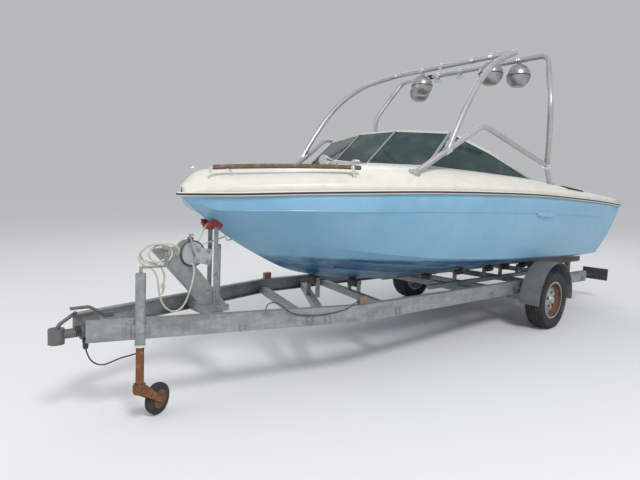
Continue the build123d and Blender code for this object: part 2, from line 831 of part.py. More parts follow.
with BuildPart() as jockey_fork:
    with Locations((jockey_x, jockey_y, crown_z)):
        Cylinder(fork_half + fork_plate / 2, 9.5, align=(Align.CENTER, Align.CENTER, Align.MIN))
        Cylinder(fork_half + fork_plate / 2, 50, align=(Align.CENTER, Align.CENTER, Align.MAX))
        Cylinder(fork_half - fork_plate / 2, 44, align=(Align.CENTER, Align.CENTER, Align.MAX), mode=Mode.SUBTRACT)
    for side in (1, -1):
        origin = jockey_centre + jockey_out * (side * fork_half)
        rise = crown_z - jockey_centre.Z
        with BuildSketch(Plane(origin=origin, x_dir=jockey_ahead, z_dir=-jockey_out)) as cheek:
            Polygon((-20, 0), (14, -16), (jockey_trail + 20, rise - 50), (jockey_trail + 20, rise), align=None)
            with BuildLine():
                Polyline((-20, 0), (14, -16), (jockey_trail + 20, rise - 50), (jockey_trail - 20, rise), close=True)
            make_face()
            Circle(20)
        extrude(cheek.sketch, amount=fork_plate / 2, both=True)
    bar_between(
        tuple(jockey_centre - jockey_out * (fork_half + 8)),
        tuple(jockey_centre + jockey_out * (fork_half + 8)),
        2 * fork_pin,
    )

with BuildPart() as jockey_wheel:
    section = Plane(origin=jockey_centre, x_dir=(0, 0, 1), z_dir=Vector(0, 0, 1).cross(jockey_out))
    with BuildSketch(section):
        with BuildLine():
            edge = (jockey_radius - 6, jockey_width / 2)
            Polyline((edge[0], -edge[1]), (fork_pin + running, -edge[1]), (fork_pin + running, edge[1]), edge)
            ThreePointArc(edge, (jockey_radius, 0), (edge[0], -edge[1]))
        make_face()
    revolve(axis=Axis(jockey_centre, jockey_out))

with BuildPart() as jockey_crank:
    bar_between((jockey_x, jockey_y, jockey_tube_top), (jockey_x, jockey_y, jockey_tube_top + 40), 20)
    bar_between(
        (jockey_x, jockey_y, jockey_tube_top + 34), (jockey_x - 164, jockey_y, jockey_tube_top + 34), 14
    )
    bar_between(
        (jockey_x - 157, jockey_y, jockey_tube_top + 28), (jockey_x - 157, jockey_y, jockey_tube_top + 120), 24
    )

# Stern drive: housing on the transom, steering yoke, tilting leg and propeller
with BuildPart() as transom_housing:
    block((drive_x + 80, -150.0, drive_z - 180), (-1380.0, 150.0, drive_z + 160))
    for z in (drive_z + lug_gap, drive_z - lug_gap - lug_thick):
        with BuildSketch(Plane.XY.offset(z)) as lug:
            Polygon(
                (drive_x, 34),
                (drive_x + 90, 60),
                (drive_x + 90, -60),
                (drive_x, -34),
                align=None,
            )
            with Locations((drive_x, 0)):
                Circle(34)
        extrude(lug.sketch, amount=lug_thick)
    bar_between(
        (drive_x, 0, drive_z - lug_gap - lug_thick - 1),
        (drive_x, 0, drive_z + lug_gap + lug_thick + 1),
        2 * yoke_pin + 2 * running,
        Mode.SUBTRACT,
    )
    add(hull_solid.part, mode=Mode.SUBTRACT)

with BuildPart() as drive_yoke:
    bar_between(
        (drive_x, 0, drive_z - lug_gap + 0.5), (drive_x, 0, drive_z + lug_gap - 0.5), 2 * yoke_radius
    )
    bar_between(
        (drive_x, 0, drive_z - lug_gap - lug_thick),
        (drive_x, 0, drive_z + lug_gap + lug_thick),
        2 * yoke_pin,
    )
    bar_between((drive_x, -trunnion_reach, drive_z), (drive_x, trunnion_reach, drive_z), 2 * trunnion_radius)

with BuildPart() as drive_leg:
    for side in (1, -1):
        with BuildSketch(Plane.XZ.offset(-side * (yoke_radius + 6))) as cheek:
            with Locations((drive_x, drive_z)):
                Circle(36)
            with Locations((drive_x - 65, drive_z)):
                Rectangle(130, 72)
        extrude(cheek.sketch, amount=-side * 24)
    with BuildSketch(Plane.XZ) as upper:
        Polygon(*[(drive_x + x, drive_z + z) for x, z in leg_upper], align=None)
    extrude(upper.sketch, amount=leg_half, both=True)
    with BuildSketch(Plane.XZ) as lower:
        Polygon(*[(drive_x + x, drive_z + z) for x, z in leg_lower], align=None)
    extrude(lower.sketch, amount=leg_slim, both=True)
    with BuildSketch(Plane.XY.offset(drive_z + leg_plate_z)) as plate:
        Polygon(*[(drive_x + x, y) for x, y in leg_plate], align=None)
    extrude(plate.sketch, amount=10)
    bar_between((drive_x - 290, 0, shaft_z), (drive_x - 110, 0, shaft_z), 96)
    with Locations((drive_x - 110, 0, shaft_z)):
        Sphere(48)
    with BuildSketch(Plane.XZ) as skeg:
        Polygon(*[(drive_x + x, shaft_z + z) for x, z in leg_skeg], align=None)
    extrude(skeg.sketch, amount=5, both=True)
    bar_between(
        (drive_x, -trunnion_reach - 20, drive_z),
        (drive_x, trunnion_reach + 20, drive_z),
        2 * trunnion_radius + 2 * running,
        Mode.SUBTRACT,
    )
    bar_between((drive_x - 300, 0, shaft_z), (drive_x - 225, 0, shaft_z), 2 * (prop_shaft + running), Mode.SUBTRACT)

with BuildPart() as propeller:
    bar_between((drive_x - 400, 0, shaft_z), (drive_x - 295, 0, shaft_z), 80)
    bar_between((drive_x - 300, 0, shaft_z), (drive_x - 226, 0, shaft_z), 2 * prop_shaft)
    for step in range(3):
        angle = math.radians(90 + 120 * step)
        radial = Vector(0, math.cos(angle), math.sin(angle))
        pitch = math.radians(prop_pitch)
        normal = Vector(1, 0, 0) * math.cos(pitch) + Vector(1, 0, 0).cross(radial) * math.sin(pitch)
        with BuildSketch(Plane(origin=(drive_x - 350, 0, shaft_z), x_dir=radial, z_dir=normal)) as blade:
            with Locations((prop_radius / 2 + 8, 0)):
                Ellipse(prop_radius / 2 - 8, 58)
        extrude(blade.sketch, amount=3, both=True)

# Horn on the foredeck
with BuildPart() as horn:
    bar_between((horn_tail_x, horn_y, horn_z), (horn_bell_x - 60, horn_y, horn_z), 22)
    bar_between((horn_tail_x - 50, horn_y, horn_z), (horn_tail_x, horn_y, horn_z), 62)
    with BuildSketch(Plane(origin=(horn_bell_x - 90, horn_y, horn_z), z_dir=(1, 0, 0))) as throat:
        Circle(12)
    with BuildSketch(Plane(origin=(horn_bell_x, horn_y, horn_z), z_dir=(1, 0, 0))) as mouth:
        Circle(horn_bell / 2)
    loft([throat.sketch.faces()[0], mouth.sketch.faces()[0]])
    for x in (horn_tail_x + 20, horn_bell_x - 110):
        block((x - 15, horn_y - 10, horn_z - 90), (x + 15, horn_y + 10, horn_z))
    add(deck_solid.part, mode=Mode.SUBTRACT)

# Bow rails: two stanchions and a wooden rail each side
with BuildPart() as stanchions:
    for foot, head in stanchion_rows:
        run = Vector(*head) - Vector(*foot)
        bar_between(tuple(Vector(*foot) - run.normalized() * 30), head, stanchion_tube)
        with Locations(head):
            Sphere(0.8 * stanchion_tube)
    mirror(about=Plane.XZ)
    add(deck_solid.part, mode=Mode.SUBTRACT)

with BuildPart() as bow_rails:
    heads = [head for foot, head in stanchion_rows]
    run = (Vector(*heads[0]) - Vector(*heads[1])).normalized()
    bar_between(tuple(Vector(*heads[1]) - run * rail_tail), tuple(Vector(*heads[0]) + run * rail_lead), rail_bar)
    mirror(about=Plane.XZ)
    add(stanchions.part, mode=Mode.SUBTRACT)

# Louvred vents on the side decks
with BuildPart() as side_vents:
    for side in (1, -1):
        lean = math.radians(vent_lean) * side
        up = Vector(0, math.sin(lean), math.cos(lean))
        plane = Plane(origin=(vent_x, side * vent_y, vent_z), x_dir=(math.cos(vent_fall), 0, math.sin(vent_fall)), z_dir=up)
        with BuildSketch(plane) as plate:
            Rectangle(vent_length, vent_width)
        extrude(plate.sketch, amount=6, both=True)
    add(deck_solid.part, mode=Mode.SUBTRACT)

# Bow eye on the stem
with BuildPart() as bow_eye:
    tube_along([(eye_x - 60, 0, eye_z + 40), (eye_x + 40, 0, eye_z + 22), (eye_x + 18, 0, eye_z - 32), (eye_x - 90, 0, eye_z - 10)], 14, 12)
    add(hull_solid.part, mode=Mode.SUBTRACT)

# Rear light boards on arms
with BuildPart() as light_boards:
    for side in (1, -1):
        with Locations((-1590.0, side * beam_tail[1], beam_bottom_z + 60)):
            Box(330, 40, 25)
        with Locations((light_x, side * light_y, light_z)):
            Box(18, 300, 150)
    add(beam_cores.part, mode=Mode.SUBTRACT)

# Handbrake lever and bellows at the coupling
with BuildPart() as handbrake:
    tube_along([(4165.0, 45.0, 482.0), (4262.0, 45.0, 545.0), (4366.0, 45.0, 545.0)], 40, 20)
    block((4120.0, 34.0, nose_top_z), (4180.0, 56.0, nose_top_z + 30))

# Winch on the post
with BuildPart() as winch:
    for side in (1, -1):
        with BuildSketch(Plane.XZ.offset(-side * 50)) as cheek:
            Polygon((3480.0, 820.0), (3700.0, 820.0), (3690.0, 900.0), (3600.0, 935.0), (3500.0, 920.0), align=None)
        extrude(cheek.sketch, amount=-side * 5)
    bar_between((3580.0, -60.0, 880.0), (3580.0, 60.0, 880.0), 30)
    bar_between((3580.0, -48.0, 880.0), (3580.0, 48.0, 880.0), 62)
    block((3480.0, -55.0, 815.0), (3700.0, 55.0, 821.0))
    add(winch_arm.part, mode=Mode.SUBTRACT)
    add(bow_stop.part, mode=Mode.SUBTRACT)

# Keel rollers on two cross members
with BuildPart() as roller_brackets:
    for x, z in ((cross_places[1], 590.0), (cross_places[2], 478.0)):
        for side in (1, -1):
            block((x - 25, side * 60 - 4, cross_top_z), (x + 25, side * 60 + 4, z + 25))
        bar_between((x, -64, z), (x, 64, z), 20)

with BuildPart() as keel_rollers:
    for x, z in ((cross_places[1], 590.0), (cross_places[2], 478.0)):
        bar_between((x, -54, z), (x, 54, z), 84)
    add(roller_brackets.part, mode=Mode.SUBTRACT)
    add(hull_solid.part, mode=Mode.SUBTRACT)

# Side marker lamps on the beams
with BuildPart() as side_lamps:
    for side in (1, -1):
        with Locations((2505.0, side * 620.0, beam_top_z)):
            Box(70, 34, 60, align=(Align.CENTER, Align.CENTER, Align.MIN))

# Chrome lamps under the front bar of the tower
with BuildPart() as tower_lamps:
    for side in (1, -1):
        bar_between((front_bar_x, side * lamp_y, front_bar_z - 115), (front_bar_x, side * lamp_y, front_bar_z), 22)
        bar_between(
            (front_bar_x - 60, side * lamp_y, front_bar_z - 105),
            (front_bar_x + 40, side * lamp_y, front_bar_z - 105),
            2 * lamp_radius,
        )
        with Locations((front_bar_x, side * lamp_y, front_bar_z)):
            Cylinder(arch_tube / 2 + clamp_wall, clamp_width, rotation=(90, 0, 0))
    add(front_arch_bar.part, mode=Mode.SUBTRACT)


pieces = {
    "hull": hull.part,
    "deck": deck.part,
    "rubrail": rubrail.part,
    "liner": liner.part,
    "engine": engine.part,
    "engine_beds": engine_beds.part,
    "engine_box": engine_box.part,
    "engine_lid": engine_lid.part,
    "lid_pad": lid_pad.part,
    "seat_bases": seat_bases.part,
    "seat_pads": seat_pads.part,
    "seat_backs": seat_backs.part,
    "aft_pads": aft_pads.part,
    "consoles": consoles.part,
    "helm_column": helm_column.part,
    "steering_wheel": steering_wheel.part,
    "windscreen_frame": windscreen_frame.part,
    "windscreen_glass": windscreen_glass.part,
    "tower_hoops": tower_hoops.part,
    "front_arch": front_arch_bar.part,
    "rear_arch": rear_arch_bar.part,
    "speaker_pods": speaker_pods.part,
    "side_beams": side_beams.part,
    "cross_members": cross_members.part,
    "axle": axle.part,
    "tyre_port": hub_port * tyre.part,
    "tyre_starboard": hub_starboard * tyre.part,
    "rim_port": hub_port * rim.part,
    "rim_starboard": hub_starboard * rim.part,
    "fenders": fenders.part,
    "coupling": coupling.part,
    "winch_arm": winch_arm.part,
    "bow_stop": bow_stop.part,
    "bunks": bunks.part,
    "bunk_posts": bunk_posts.part,
    "jockey_outer": jockey_outer.part,
    "jockey_stem": jockey_stem.part,
    "jockey_fork": jockey_fork.part,
    "jockey_crank": jockey_crank.part,
    "jockey_wheel": jockey_wheel.part,
    "transom_housing": transom_housing.part,
    "drive_yoke": drive_yoke.part,
    "drive_leg": drive_leg.part,
    "propeller": propeller.part,
    "horn": horn.part,
    "stanchions": stanchions.part,
    "bow_rails": bow_rails.part,
    "side_vents": side_vents.part,
    "bow_eye": bow_eye.part,
    "light_boards": light_boards.part,
    "handbrake": handbrake.part,
    "winch": winch.part,
    "roller_brackets": roller_brackets.part,
    "keel_rollers": keel_rollers.part,
    "side_lamps": side_lamps.part,
    "tower_lamps": tower_lamps.part,
}

tip = Pos(0, 0, tyre_radius) * Rot(0, -nose_up, 0) * Pos(0, 0, -tyre_radius)
boxes = [(tip * piece).bounding_box() for piece in pieces.values()]
low = [min(box.min.X for box in boxes), min(box.min.Y for box in boxes), min(box.min.Z for box in boxes)]
high = [max(box.max.X for box in boxes), max(box.max.Y for box in boxes), max(box.max.Z for box in boxes)]
settle = Pos(-(low[0] + high[0]) / 2, -(low[1] + high[1]) / 2, -low[2])
print("moved by", settle.position)
for name, piece in pieces.items():
    placed = settle * tip * piece
    placed.label = name
    export_step(placed, f"parts/{name}.step")
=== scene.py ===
import math

import bmesh
import bpy
from bpy.props import FloatProperty, FloatVectorProperty, IntProperty, PointerProperty
from mathutils import Matrix, Vector


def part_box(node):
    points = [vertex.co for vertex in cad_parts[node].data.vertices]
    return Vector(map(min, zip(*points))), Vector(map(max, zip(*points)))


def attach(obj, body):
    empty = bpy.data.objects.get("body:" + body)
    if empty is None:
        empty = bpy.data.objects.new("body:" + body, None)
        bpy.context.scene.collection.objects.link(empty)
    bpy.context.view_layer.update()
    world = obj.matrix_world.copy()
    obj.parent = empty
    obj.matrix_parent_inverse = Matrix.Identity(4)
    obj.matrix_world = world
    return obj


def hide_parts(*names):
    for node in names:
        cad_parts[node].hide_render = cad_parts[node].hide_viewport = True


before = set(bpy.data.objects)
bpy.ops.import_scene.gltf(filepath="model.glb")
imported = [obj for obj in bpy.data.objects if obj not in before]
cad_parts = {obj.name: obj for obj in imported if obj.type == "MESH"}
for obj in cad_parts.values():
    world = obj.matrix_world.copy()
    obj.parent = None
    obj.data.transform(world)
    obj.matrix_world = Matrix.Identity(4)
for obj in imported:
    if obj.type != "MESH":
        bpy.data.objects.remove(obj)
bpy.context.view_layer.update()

bl_info = {
    "name": "Runabout on a Trailer",
    "version": (1, 0, 0),
    "blender": (4, 5, 0),
    "location": "View3D > Sidebar > Runabout",
    "description": "Dresses the packed speedboat and its road trailer with shapes and materials",
    "category": "Object",
}

TYRE_RADIUS = 0.300
LEAN = math.radians(2.4)
AXLE = [(low + high) / 2 for low, high in zip(*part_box("rim_port"))]

# station x, keel z, chine y, chine z, knuckle y, knuckle z, sheer y, sheer z, crown z
STATIONS = (
    (-1700, 505, 795, 716, 950, 1150, 975, 1322, 1400),
    (-600, 503, 826, 730, 992, 1180, 1020, 1355, 1455),
    (600, 502, 829, 752, 1000, 1199, 1032, 1370, 1522),
    (1500, 508, 791, 784, 980, 1194, 1010, 1357, 1532),
    (2150, 556, 693, 830, 893, 1187, 930, 1338, 1515),
    (2700, 655, 503, 893, 752, 1171, 780, 1311, 1468),
    (3100, 830, 236, 943, 570, 1162, 592, 1287, 1424),
    (3350, 975, 55, 1008, 375, 1150, 425, 1268, 1400),
    (3500, 1087, 20, 1100, 240, 1142, 290, 1257, 1382),
    (3670, 1228, 6, 1231, 14, 1236, 28, 1246, 1290),
)
TOW_ROPE = (
    (3716, 40, 838), (3716, 80, 838), (3722, 113, 872), (3748, 118, 906), (3800, 112, 920), (3870, 104, 920),
    (3935, 98, 905), (3980, 93, 870), (3985, 89, 820), (3955, 86, 783), (3905, 83, 765), (3866, 80, 728),
    (3851, 80, 660), (3843, 80, 580), (3818, 82, 510), (3772, 86, 464), (3718, 92, 460), (3676, 100, 500),
    (3652, 110, 568), (3637, 122, 640), (3628, 131, 700), (3624, 131, 746), (3621, 102, 775), (3621, 62, 775),
)
HANK_ROPE = (
    (3788, 46, 872), (3810, 47, 900), (3850, 49, 912), (3920, 52, 905), (3965, 54, 868), (3955, 56, 820),
    (3900, 58, 790), (3830, 60, 792), (3775, 62, 828), (3770, 64, 872), (3806, 66, 906), (3872, 68, 914),
    (3942, 70, 892), (3975, 72, 845), (3945, 74, 802), (3880, 76, 778), (3800, 78, 786), (3758, 80, 832),
    (3764, 82, 880), (3812, 84, 912), (3880, 86, 902), (3924, 88, 862), (3905, 90, 815), (3856, 91, 785),
    (3818, 91, 735), (3812, 90, 680), (3822, 89, 640),
)
SLACK_ROPE = (
    (3590, 20, 872), (3572, 20, 892), (3541, 22, 923), (3516, 24, 970), (3500, 24, 1012), (3480, 22, 1042),
    (3455, 18, 1044), (3434, 12, 1038),
)
WINCH_ROPE = ((3588, 0, 866), (3530, 0, 883.3), (3381, 0, 927.7), (3323, 0, 945))
BEAM_CABLE = (
    (3238, 424, 475), (3238, 424, 505), (3215, 442, 530), (3172, 464, 530), (3135, 486, 500), (3098, 503, 462),
    (3040, 519, 440), (2960, 541, 427), (2870, 567, 425), (2780, 593, 433), (2700, 618, 449), (2640, 640, 472),
    (2585, 632, 500), (2540, 632, 500),
)
NOSE_CABLE = (
    (3985, 206.7, 350), (3985, 206.7, 302), (4000, 185, 258), (4040, 140, 232), (4090, 95, 212), (4140, 60, 182),
    (4185, 40, 165), (4235, 32, 190), (4265, 30, 236), (4277, 30, 289),
)
TRANSOM_FOOT = (-1400, 505)
TRANSOM_RAKE = math.tan(math.radians(13.5))
STEM_X, STERN_X = 3670, -1395
# a laid rope's full turn, and its strands' offset and radius, in rope diameters
ROPE_TURN, STRAND_OFFSET, STRAND_RADIUS = 3.4, 0.235, 0.3
AHEAD, PORT, UP = (1, 0, 0), (0, 1, 0), (0, 0, 1)
SIDES = {1: "port", -1: "starboard"}
# how marks lie: from and to on the noise, strength and roughness
SCUFFED, STAINED = (0.55, 0.8, 0.4, 0.7), (0.5, 0.8, 0.5, 0.8)


def at(x, y, z):
    """Row point of a place given level, in millimetres from the axle and the ground under it."""
    x, y, z = x / 1000, y / 1000, z / 1000 - TYRE_RADIUS
    return Vector((
        AXLE[0] + x * math.cos(LEAN) - z * math.sin(LEAN),
        y,
        TYRE_RADIUS + x * math.sin(LEAN) + z * math.cos(LEAN),
    ))


def turned(x, y, z):
    """Direction of the level frame, in the row frame."""
    return Vector((x * math.cos(LEAN) - z * math.sin(LEAN), y, x * math.sin(LEAN) + z * math.cos(LEAN)))


def placed(place):
    """Row point of a level place; a Vector is one already."""
    return place if isinstance(place, Vector) else at(*place)


def aimed(way):
    """Row direction of a level one; a Vector is one already."""
    return way if isinstance(way, Vector) else turned(*way)


def over(point):
    """The same point on the other side of the boat."""
    return point[0], -point[1], point[2]


def around(count, start=0.0):
    """Cosine and sine at even steps of a full turn."""
    angles = [start + 2 * math.pi * step / count for step in range(count)]
    return [(math.cos(angle), math.sin(angle)) for angle in angles]


def superround(value, power):
    """A cosine or sine pushed outwards, for an oval with full corners."""
    return math.copysign(abs(value) ** power, value)


def slopes(column):
    """Slopes of a smooth curve through a column of the stations that doesn't overshoot."""
    xs = [row[0] for row in STATIONS]
    ys = [row[column] for row in STATIONS]
    steps = [(b - a) / (d - c) for a, b, c, d in zip(ys, ys[1:], xs, xs[1:])]
    inner = [2 * a * b / (a + b) if a * b > 0 else 0.0 for a, b in zip(steps, steps[1:])]
    return [steps[0]] + inner + [steps[-1]]


SLOPES = [slopes(column) for column in range(1, 9)]


def row_at(x):
    """Stations' columns at any x, smoothly between them."""
    span = 0
    while span < len(STATIONS) - 2 and x > STATIONS[span + 1][0]:
        span += 1
    a, b = STATIONS[span], STATIONS[span + 1]
    width = b[0] - a[0]
    t = (x - a[0]) / width
    values = []
    for column, slope in enumerate(SLOPES, 1):
        m0, m1 = slope[span] * width, slope[span + 1] * width
        ends = a[column] * (2 * t**3 - 3 * t**2 + 1) + b[column] * (3 * t**2 - 2 * t**3)
        values.append(ends + m0 * (t**3 - 2 * t**2 + t) + m1 * (t**3 - t**2))
    return values


def setting(group):
    """Settings of one group of pieces."""
    return getattr(bpy.context.scene, "runabout_" + group)


# Materials


def plug(tree, made, sockets):
    """Give a node's inputs a value each, or link them to a node or to one of its outputs."""
    for key, value in sockets.items():
        if isinstance(value, bpy.types.Node):
            value = next(socket for socket in value.outputs if socket.enabled)
        if isinstance(value, bpy.types.NodeSocket):
            tree.links.new(value, made.inputs[key])
        else:
            made.inputs[key].default_value = value


def node(tree, kind, sockets=None, **modes):
    """New node with its modes set and its inputs filled."""
    made = tree.nodes.new(kind)
    for name, mode in modes.items():
        setattr(made, name, mode)
    plug(tree, made, sockets or {})
    return made


def surface(name, colour, rough, *marks, metal=0.0, coat=0.0, band=None, bump=(60, 0.1, 0.001), grain=None):
    """Material whose base colour is broken up by marks of (colour, scales, low, high, strength, roughness)."""
    material = bpy.data.materials.new(name)
    material.use_nodes = True
    tree = material.node_tree
    coords = node(tree, "ShaderNodeTexCoord").outputs["Object"]
    level = node(tree, "ShaderNodeMapping", {"Vector": coords, "Rotation": (0, LEAN, 0)})

    def cloud(scale, detail, roughness, scales=None, shift=(0, 0, 0)):
        where = level
        if scales:
            scales = scales if isinstance(scales, tuple) else (scales,) * 3
            where = node(tree, "ShaderNodeMapping", {"Vector": level, "Scale": scales, "Location": shift})
        looks = {"Vector": where, "Scale": scale, "Detail": detail, "Roughness": roughness}
        return node(tree, "ShaderNodeTexNoise", looks)

    def spread(value, low, high, top=1.0, bottom=0.0):
        ends = {"Value": value, "From Min": low, "From Max": high, "To Min": bottom, "To Max": top}
        return node(tree, "ShaderNodeMapRange", ends)

    def mixed(a, b, factor, kind="RGBA"):
        return node(tree, "ShaderNodeMix", {"A": a, "B": b, "Factor": factor}, data_type=kind)

    def sum_of(value, factor, more):
        return node(tree, "ShaderNodeMath", {0: value, 1: factor, 2: more}, operation="MULTIPLY_ADD")

    fine = cloud(9, 8, 0.65)
    flow = mixed((*[c * 0.86 for c in colour], 1), (*[min(1, c * 1.1) for c in colour], 1), fine)
    gloss = rough if marks else spread(fine, 0, 1, min(1, rough * 1.15), rough * 0.85)
    for index, (mark, scales, low, high, strength, mark_rough) in enumerate(marks):
        mask = spread(cloud(1, 9, 0.62, scales, (3.1 * index, 1.7 * index, 0.9)), low, high, strength)
        flow = mixed(flow, (*mark, 1), mask)
        gloss = mixed(gloss, mark_rough, mask, "FLOAT")
    if band:
        height, blur, paint, wear, streak, slope = band
        split = node(tree, "ShaderNodeSeparateXYZ", {"Vector": level}).outputs
        edge = sum_of(fine, 0.02, sum_of(split["X"], -slope, split["Z"]))
        worn = mixed((*paint, 1), (*wear, 1), spread(cloud(1, 9, 0.7, streak), 0.46, 0.72))
        flow = mixed(flow, worn, spread(edge, height + blur, height - blur))
    scale, strength, distance = bump
    relief = {"Height": cloud(scale, 6, 0.6, grain), "Strength": strength, "Distance": distance}
    looks = {"Base Color": flow, "Roughness": gloss, "Normal": node(tree, "ShaderNodeBump", relief)}
    looks.update({"Metallic": metal, "Coat Weight": coat, "Coat Roughness": 0.15})
    plug(tree, tree.nodes["Principled BSDF"], looks)
    return material


def dress(material, *names):
    """Give CAD nodes a material in every slot."""
    for name in names:
        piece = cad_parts[name]
        if not piece.material_slots:
            piece.data.materials.append(material)
        for held in piece.material_slots:
            held.material = material


# Meshes


def linked(name, data):
    """Scene object that holds some data."""
    made = bpy.data.objects.new(name, data)
    bpy.context.scene.collection.objects.link(made)
    return made


def mesh_of(piece):
    """New mesh of a piece as its modifiers or its curve make it."""
    return bpy.data.meshes.new_from_object(piece.evaluated_get(bpy.context.evaluated_depsgraph_get()))


def settle(piece):
    """Apply a piece's modifiers to its mesh."""
    mesh = mesh_of(piece)
    piece.modifiers.clear()
    piece.data = mesh


def modified(piece, kind, **values):
    """Put a piece through one modifier."""
    added = piece.modifiers.new(kind, kind)
    for name, value in values.items():
        setattr(added, name, value)
    settle(piece)


def joined(parts):
    """Several (points, faces) in one."""
    points, faces = [], []
    for some, more in parts:
        faces += [tuple(index + len(points) for index in face) for face in more]
        points += some
    return points, faces


def build(name, parts, material, slot=None, *replaces, body="rig", sharp=None, bevel=0.0, skyward=False):
    """Mesh object from (points, faces) or a list of them; sharp 0 is flat, skyward turns an open shell up."""
    points, faces = joined(parts) if isinstance(parts, list) else parts
    mesh = bpy.data.meshes.new(name)
    mesh.from_pydata(points, [], faces)
    work = bmesh.new()
    work.from_mesh(mesh)
    bmesh.ops.remove_doubles(work, verts=work.verts, dist=1e-5)
    bmesh.ops.recalc_face_normals(work, faces=work.faces)
    if skyward and sum(face.normal.z * face.calc_area() for face in work.faces) < 0:
        bmesh.ops.reverse_faces(work, faces=work.faces)
    for face in work.faces:
        face.smooth = sharp != 0
    if sharp:
        for edge in work.edges:
            if len(edge.link_faces) == 2 and edge.calc_face_angle(0) > math.radians(sharp):
                edge.smooth = False
    work.to_mesh(mesh)
    work.free()
    piece = linked(name, mesh)
    mesh.materials.append(material)
    if bevel:
        modified(piece, "BEVEL", width=bevel, segments=2, limit_method="ANGLE", harden_normals=True)
    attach(piece, body)
    if replaces:
        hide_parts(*replaces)
    return piece


def skin(rings, wrap=True, looped=False, caps=True):
    """Points and faces of a skin over rings of equally many row-frame points."""
    count, width = len(rings), len(rings[0])
    faces = []
    for row in range(count if looped else count - 1):
        a, b = row * width, (row + 1) % count * width
        for step in range(width if wrap else width - 1):
            following = (step + 1) % width
            faces.append((a + step, a + following, b + following, b + step))
    if caps:
        faces += [tuple(range(width)), tuple(range((count - 1) * width, count * width))]
    return [point for ring in rings for point in ring], faces


def travelled(path, closed=False):
    """Each row-frame point of a path, with a side and an up that don't twist along it."""
    side, last = None, len(path) - 1
    for index, here in enumerate(path):
        before = path[index - 1 if closed else max(index - 1, 0)]
        after = path[(index + 1) % len(path) if closed else min(index + 1, last)]
        ahead = (after - before).normalized()
        side = side or ahead.orthogonal()
        side = (side - ahead * side.dot(ahead)).normalized()
        yield here, side, ahead.cross(side)


def tube(path, radius, closed=False):
    """Points and faces of a round tube along row-frame points."""
    rings = []
    for here, side, up in travelled(path, closed):
        rings.append([here + (side * c + up * s) * radius for c, s in around(8)])
    return skin(rings, looped=closed, caps=not closed)


def lathe(profile, place, way, steps=40):
    """Points and faces of a profile of (along, radius) in millimetres, turned about a line."""
    origin, axis = placed(place), aimed(way).normalized()
    side = axis.orthogonal().normalized()
    up = axis.cross(side)
    rings = []
    for c, s in around(steps):
        out = side * c + up * s
        rings.append([origin + (axis * along + out * radius) / 1000 for along, radius in profile])
    return skin(rings, wrap=False, looped=True, caps=False)


def collar(inner, outer, low, high):
    """Profile of a ring for the lathe."""
    return [(low, inner), (low, outer), (high, outer), (high, inner)]


def rect(low_u, low_v, high_u, high_v):
    """Outline of a rectangle for a slab."""
    return [(low_u, low_v), (high_u, low_v), (high_u, high_v), (low_u, high_v)]


def slab(outline, axis, low, high):
    """Points and faces of a level-frame outline in the other two axes, thick from low to high along one."""
    return skin([[at(*flat[:axis], depth, *flat[axis:]) for flat in outline] for depth in (low, high)])


def bar(start, end, width, height, up=UP):
    """Points and faces of a square bar between two level-frame points."""
    run = (at(*end) - at(*start)).normalized()
    side = run.cross(turned(*up)).normalized() * (width / 2000)
    top = side.normalized().cross(run) * (height / 2000)
    corners = [side * s + top * t for s, t in ((-1, -1), (1, -1), (1, 1), (-1, 1))]
    return skin([[at(*place) + corner for corner in corners] for place in (start, end)])


def sections(count):
    """Places along the boat, closer together towards the stem."""
    return [STEM_X - (STEM_X - STERN_X) * (step / count) ** 1.3 for step in range(count)]


def belt(outline):
    """Points and faces of a strake of (out, up) round the sheer, from one quarter round the stem to the other."""
    half = [(x, *row_at(x)[5:7]) for x in sections(70) + [-1610]]
    path = half[::-1] + [(3682, 0, half[0][2])] + [over(place) for place in half]
    rings = []
    for index, (x, y, z) in enumerate(path):
        before, after = path[max(index - 1, 0)], path[min(index + 1, len(path) - 1)]
        out = Vector((before[1] - after[1], after[0] - before[0], 0)).normalized()
        rings.append([at(x + out.x * a, y + out.y * a, z + b) for a, b in outline])
    return skin(rings)


def aft_point(profile, index):
    """Point of a half profile where it meets the raked transom."""
    x = TRANSOM_FOOT[0]
    for _ in range(6):
        x = TRANSOM_FOOT[0] - (profile(x)[index][1] - TRANSOM_FOOT[1]) * TRANSOM_RAKE
    return x, *profile(x)[index]


def lofted(profile, close_aft):
    """Points and faces of a shell through half profiles, port and starboard, ending on the transom."""
    rings = [[(x, *point) for point in profile(x)] for x in sections(setting("hull").stations)]
    rings.append([aft_point(profile, index) for index in range(len(rings[0]))])
    rings = [[over(place) for place in ring[:0:-1]] + ring for ring in rings]
    points, faces = skin([[at(*place) for place in ring] for ring in rings], wrap=False, caps=False)
    if close_aft:
        faces.append(tuple(range(len(points) - len(rings[0]), len(points))))
    return points, faces


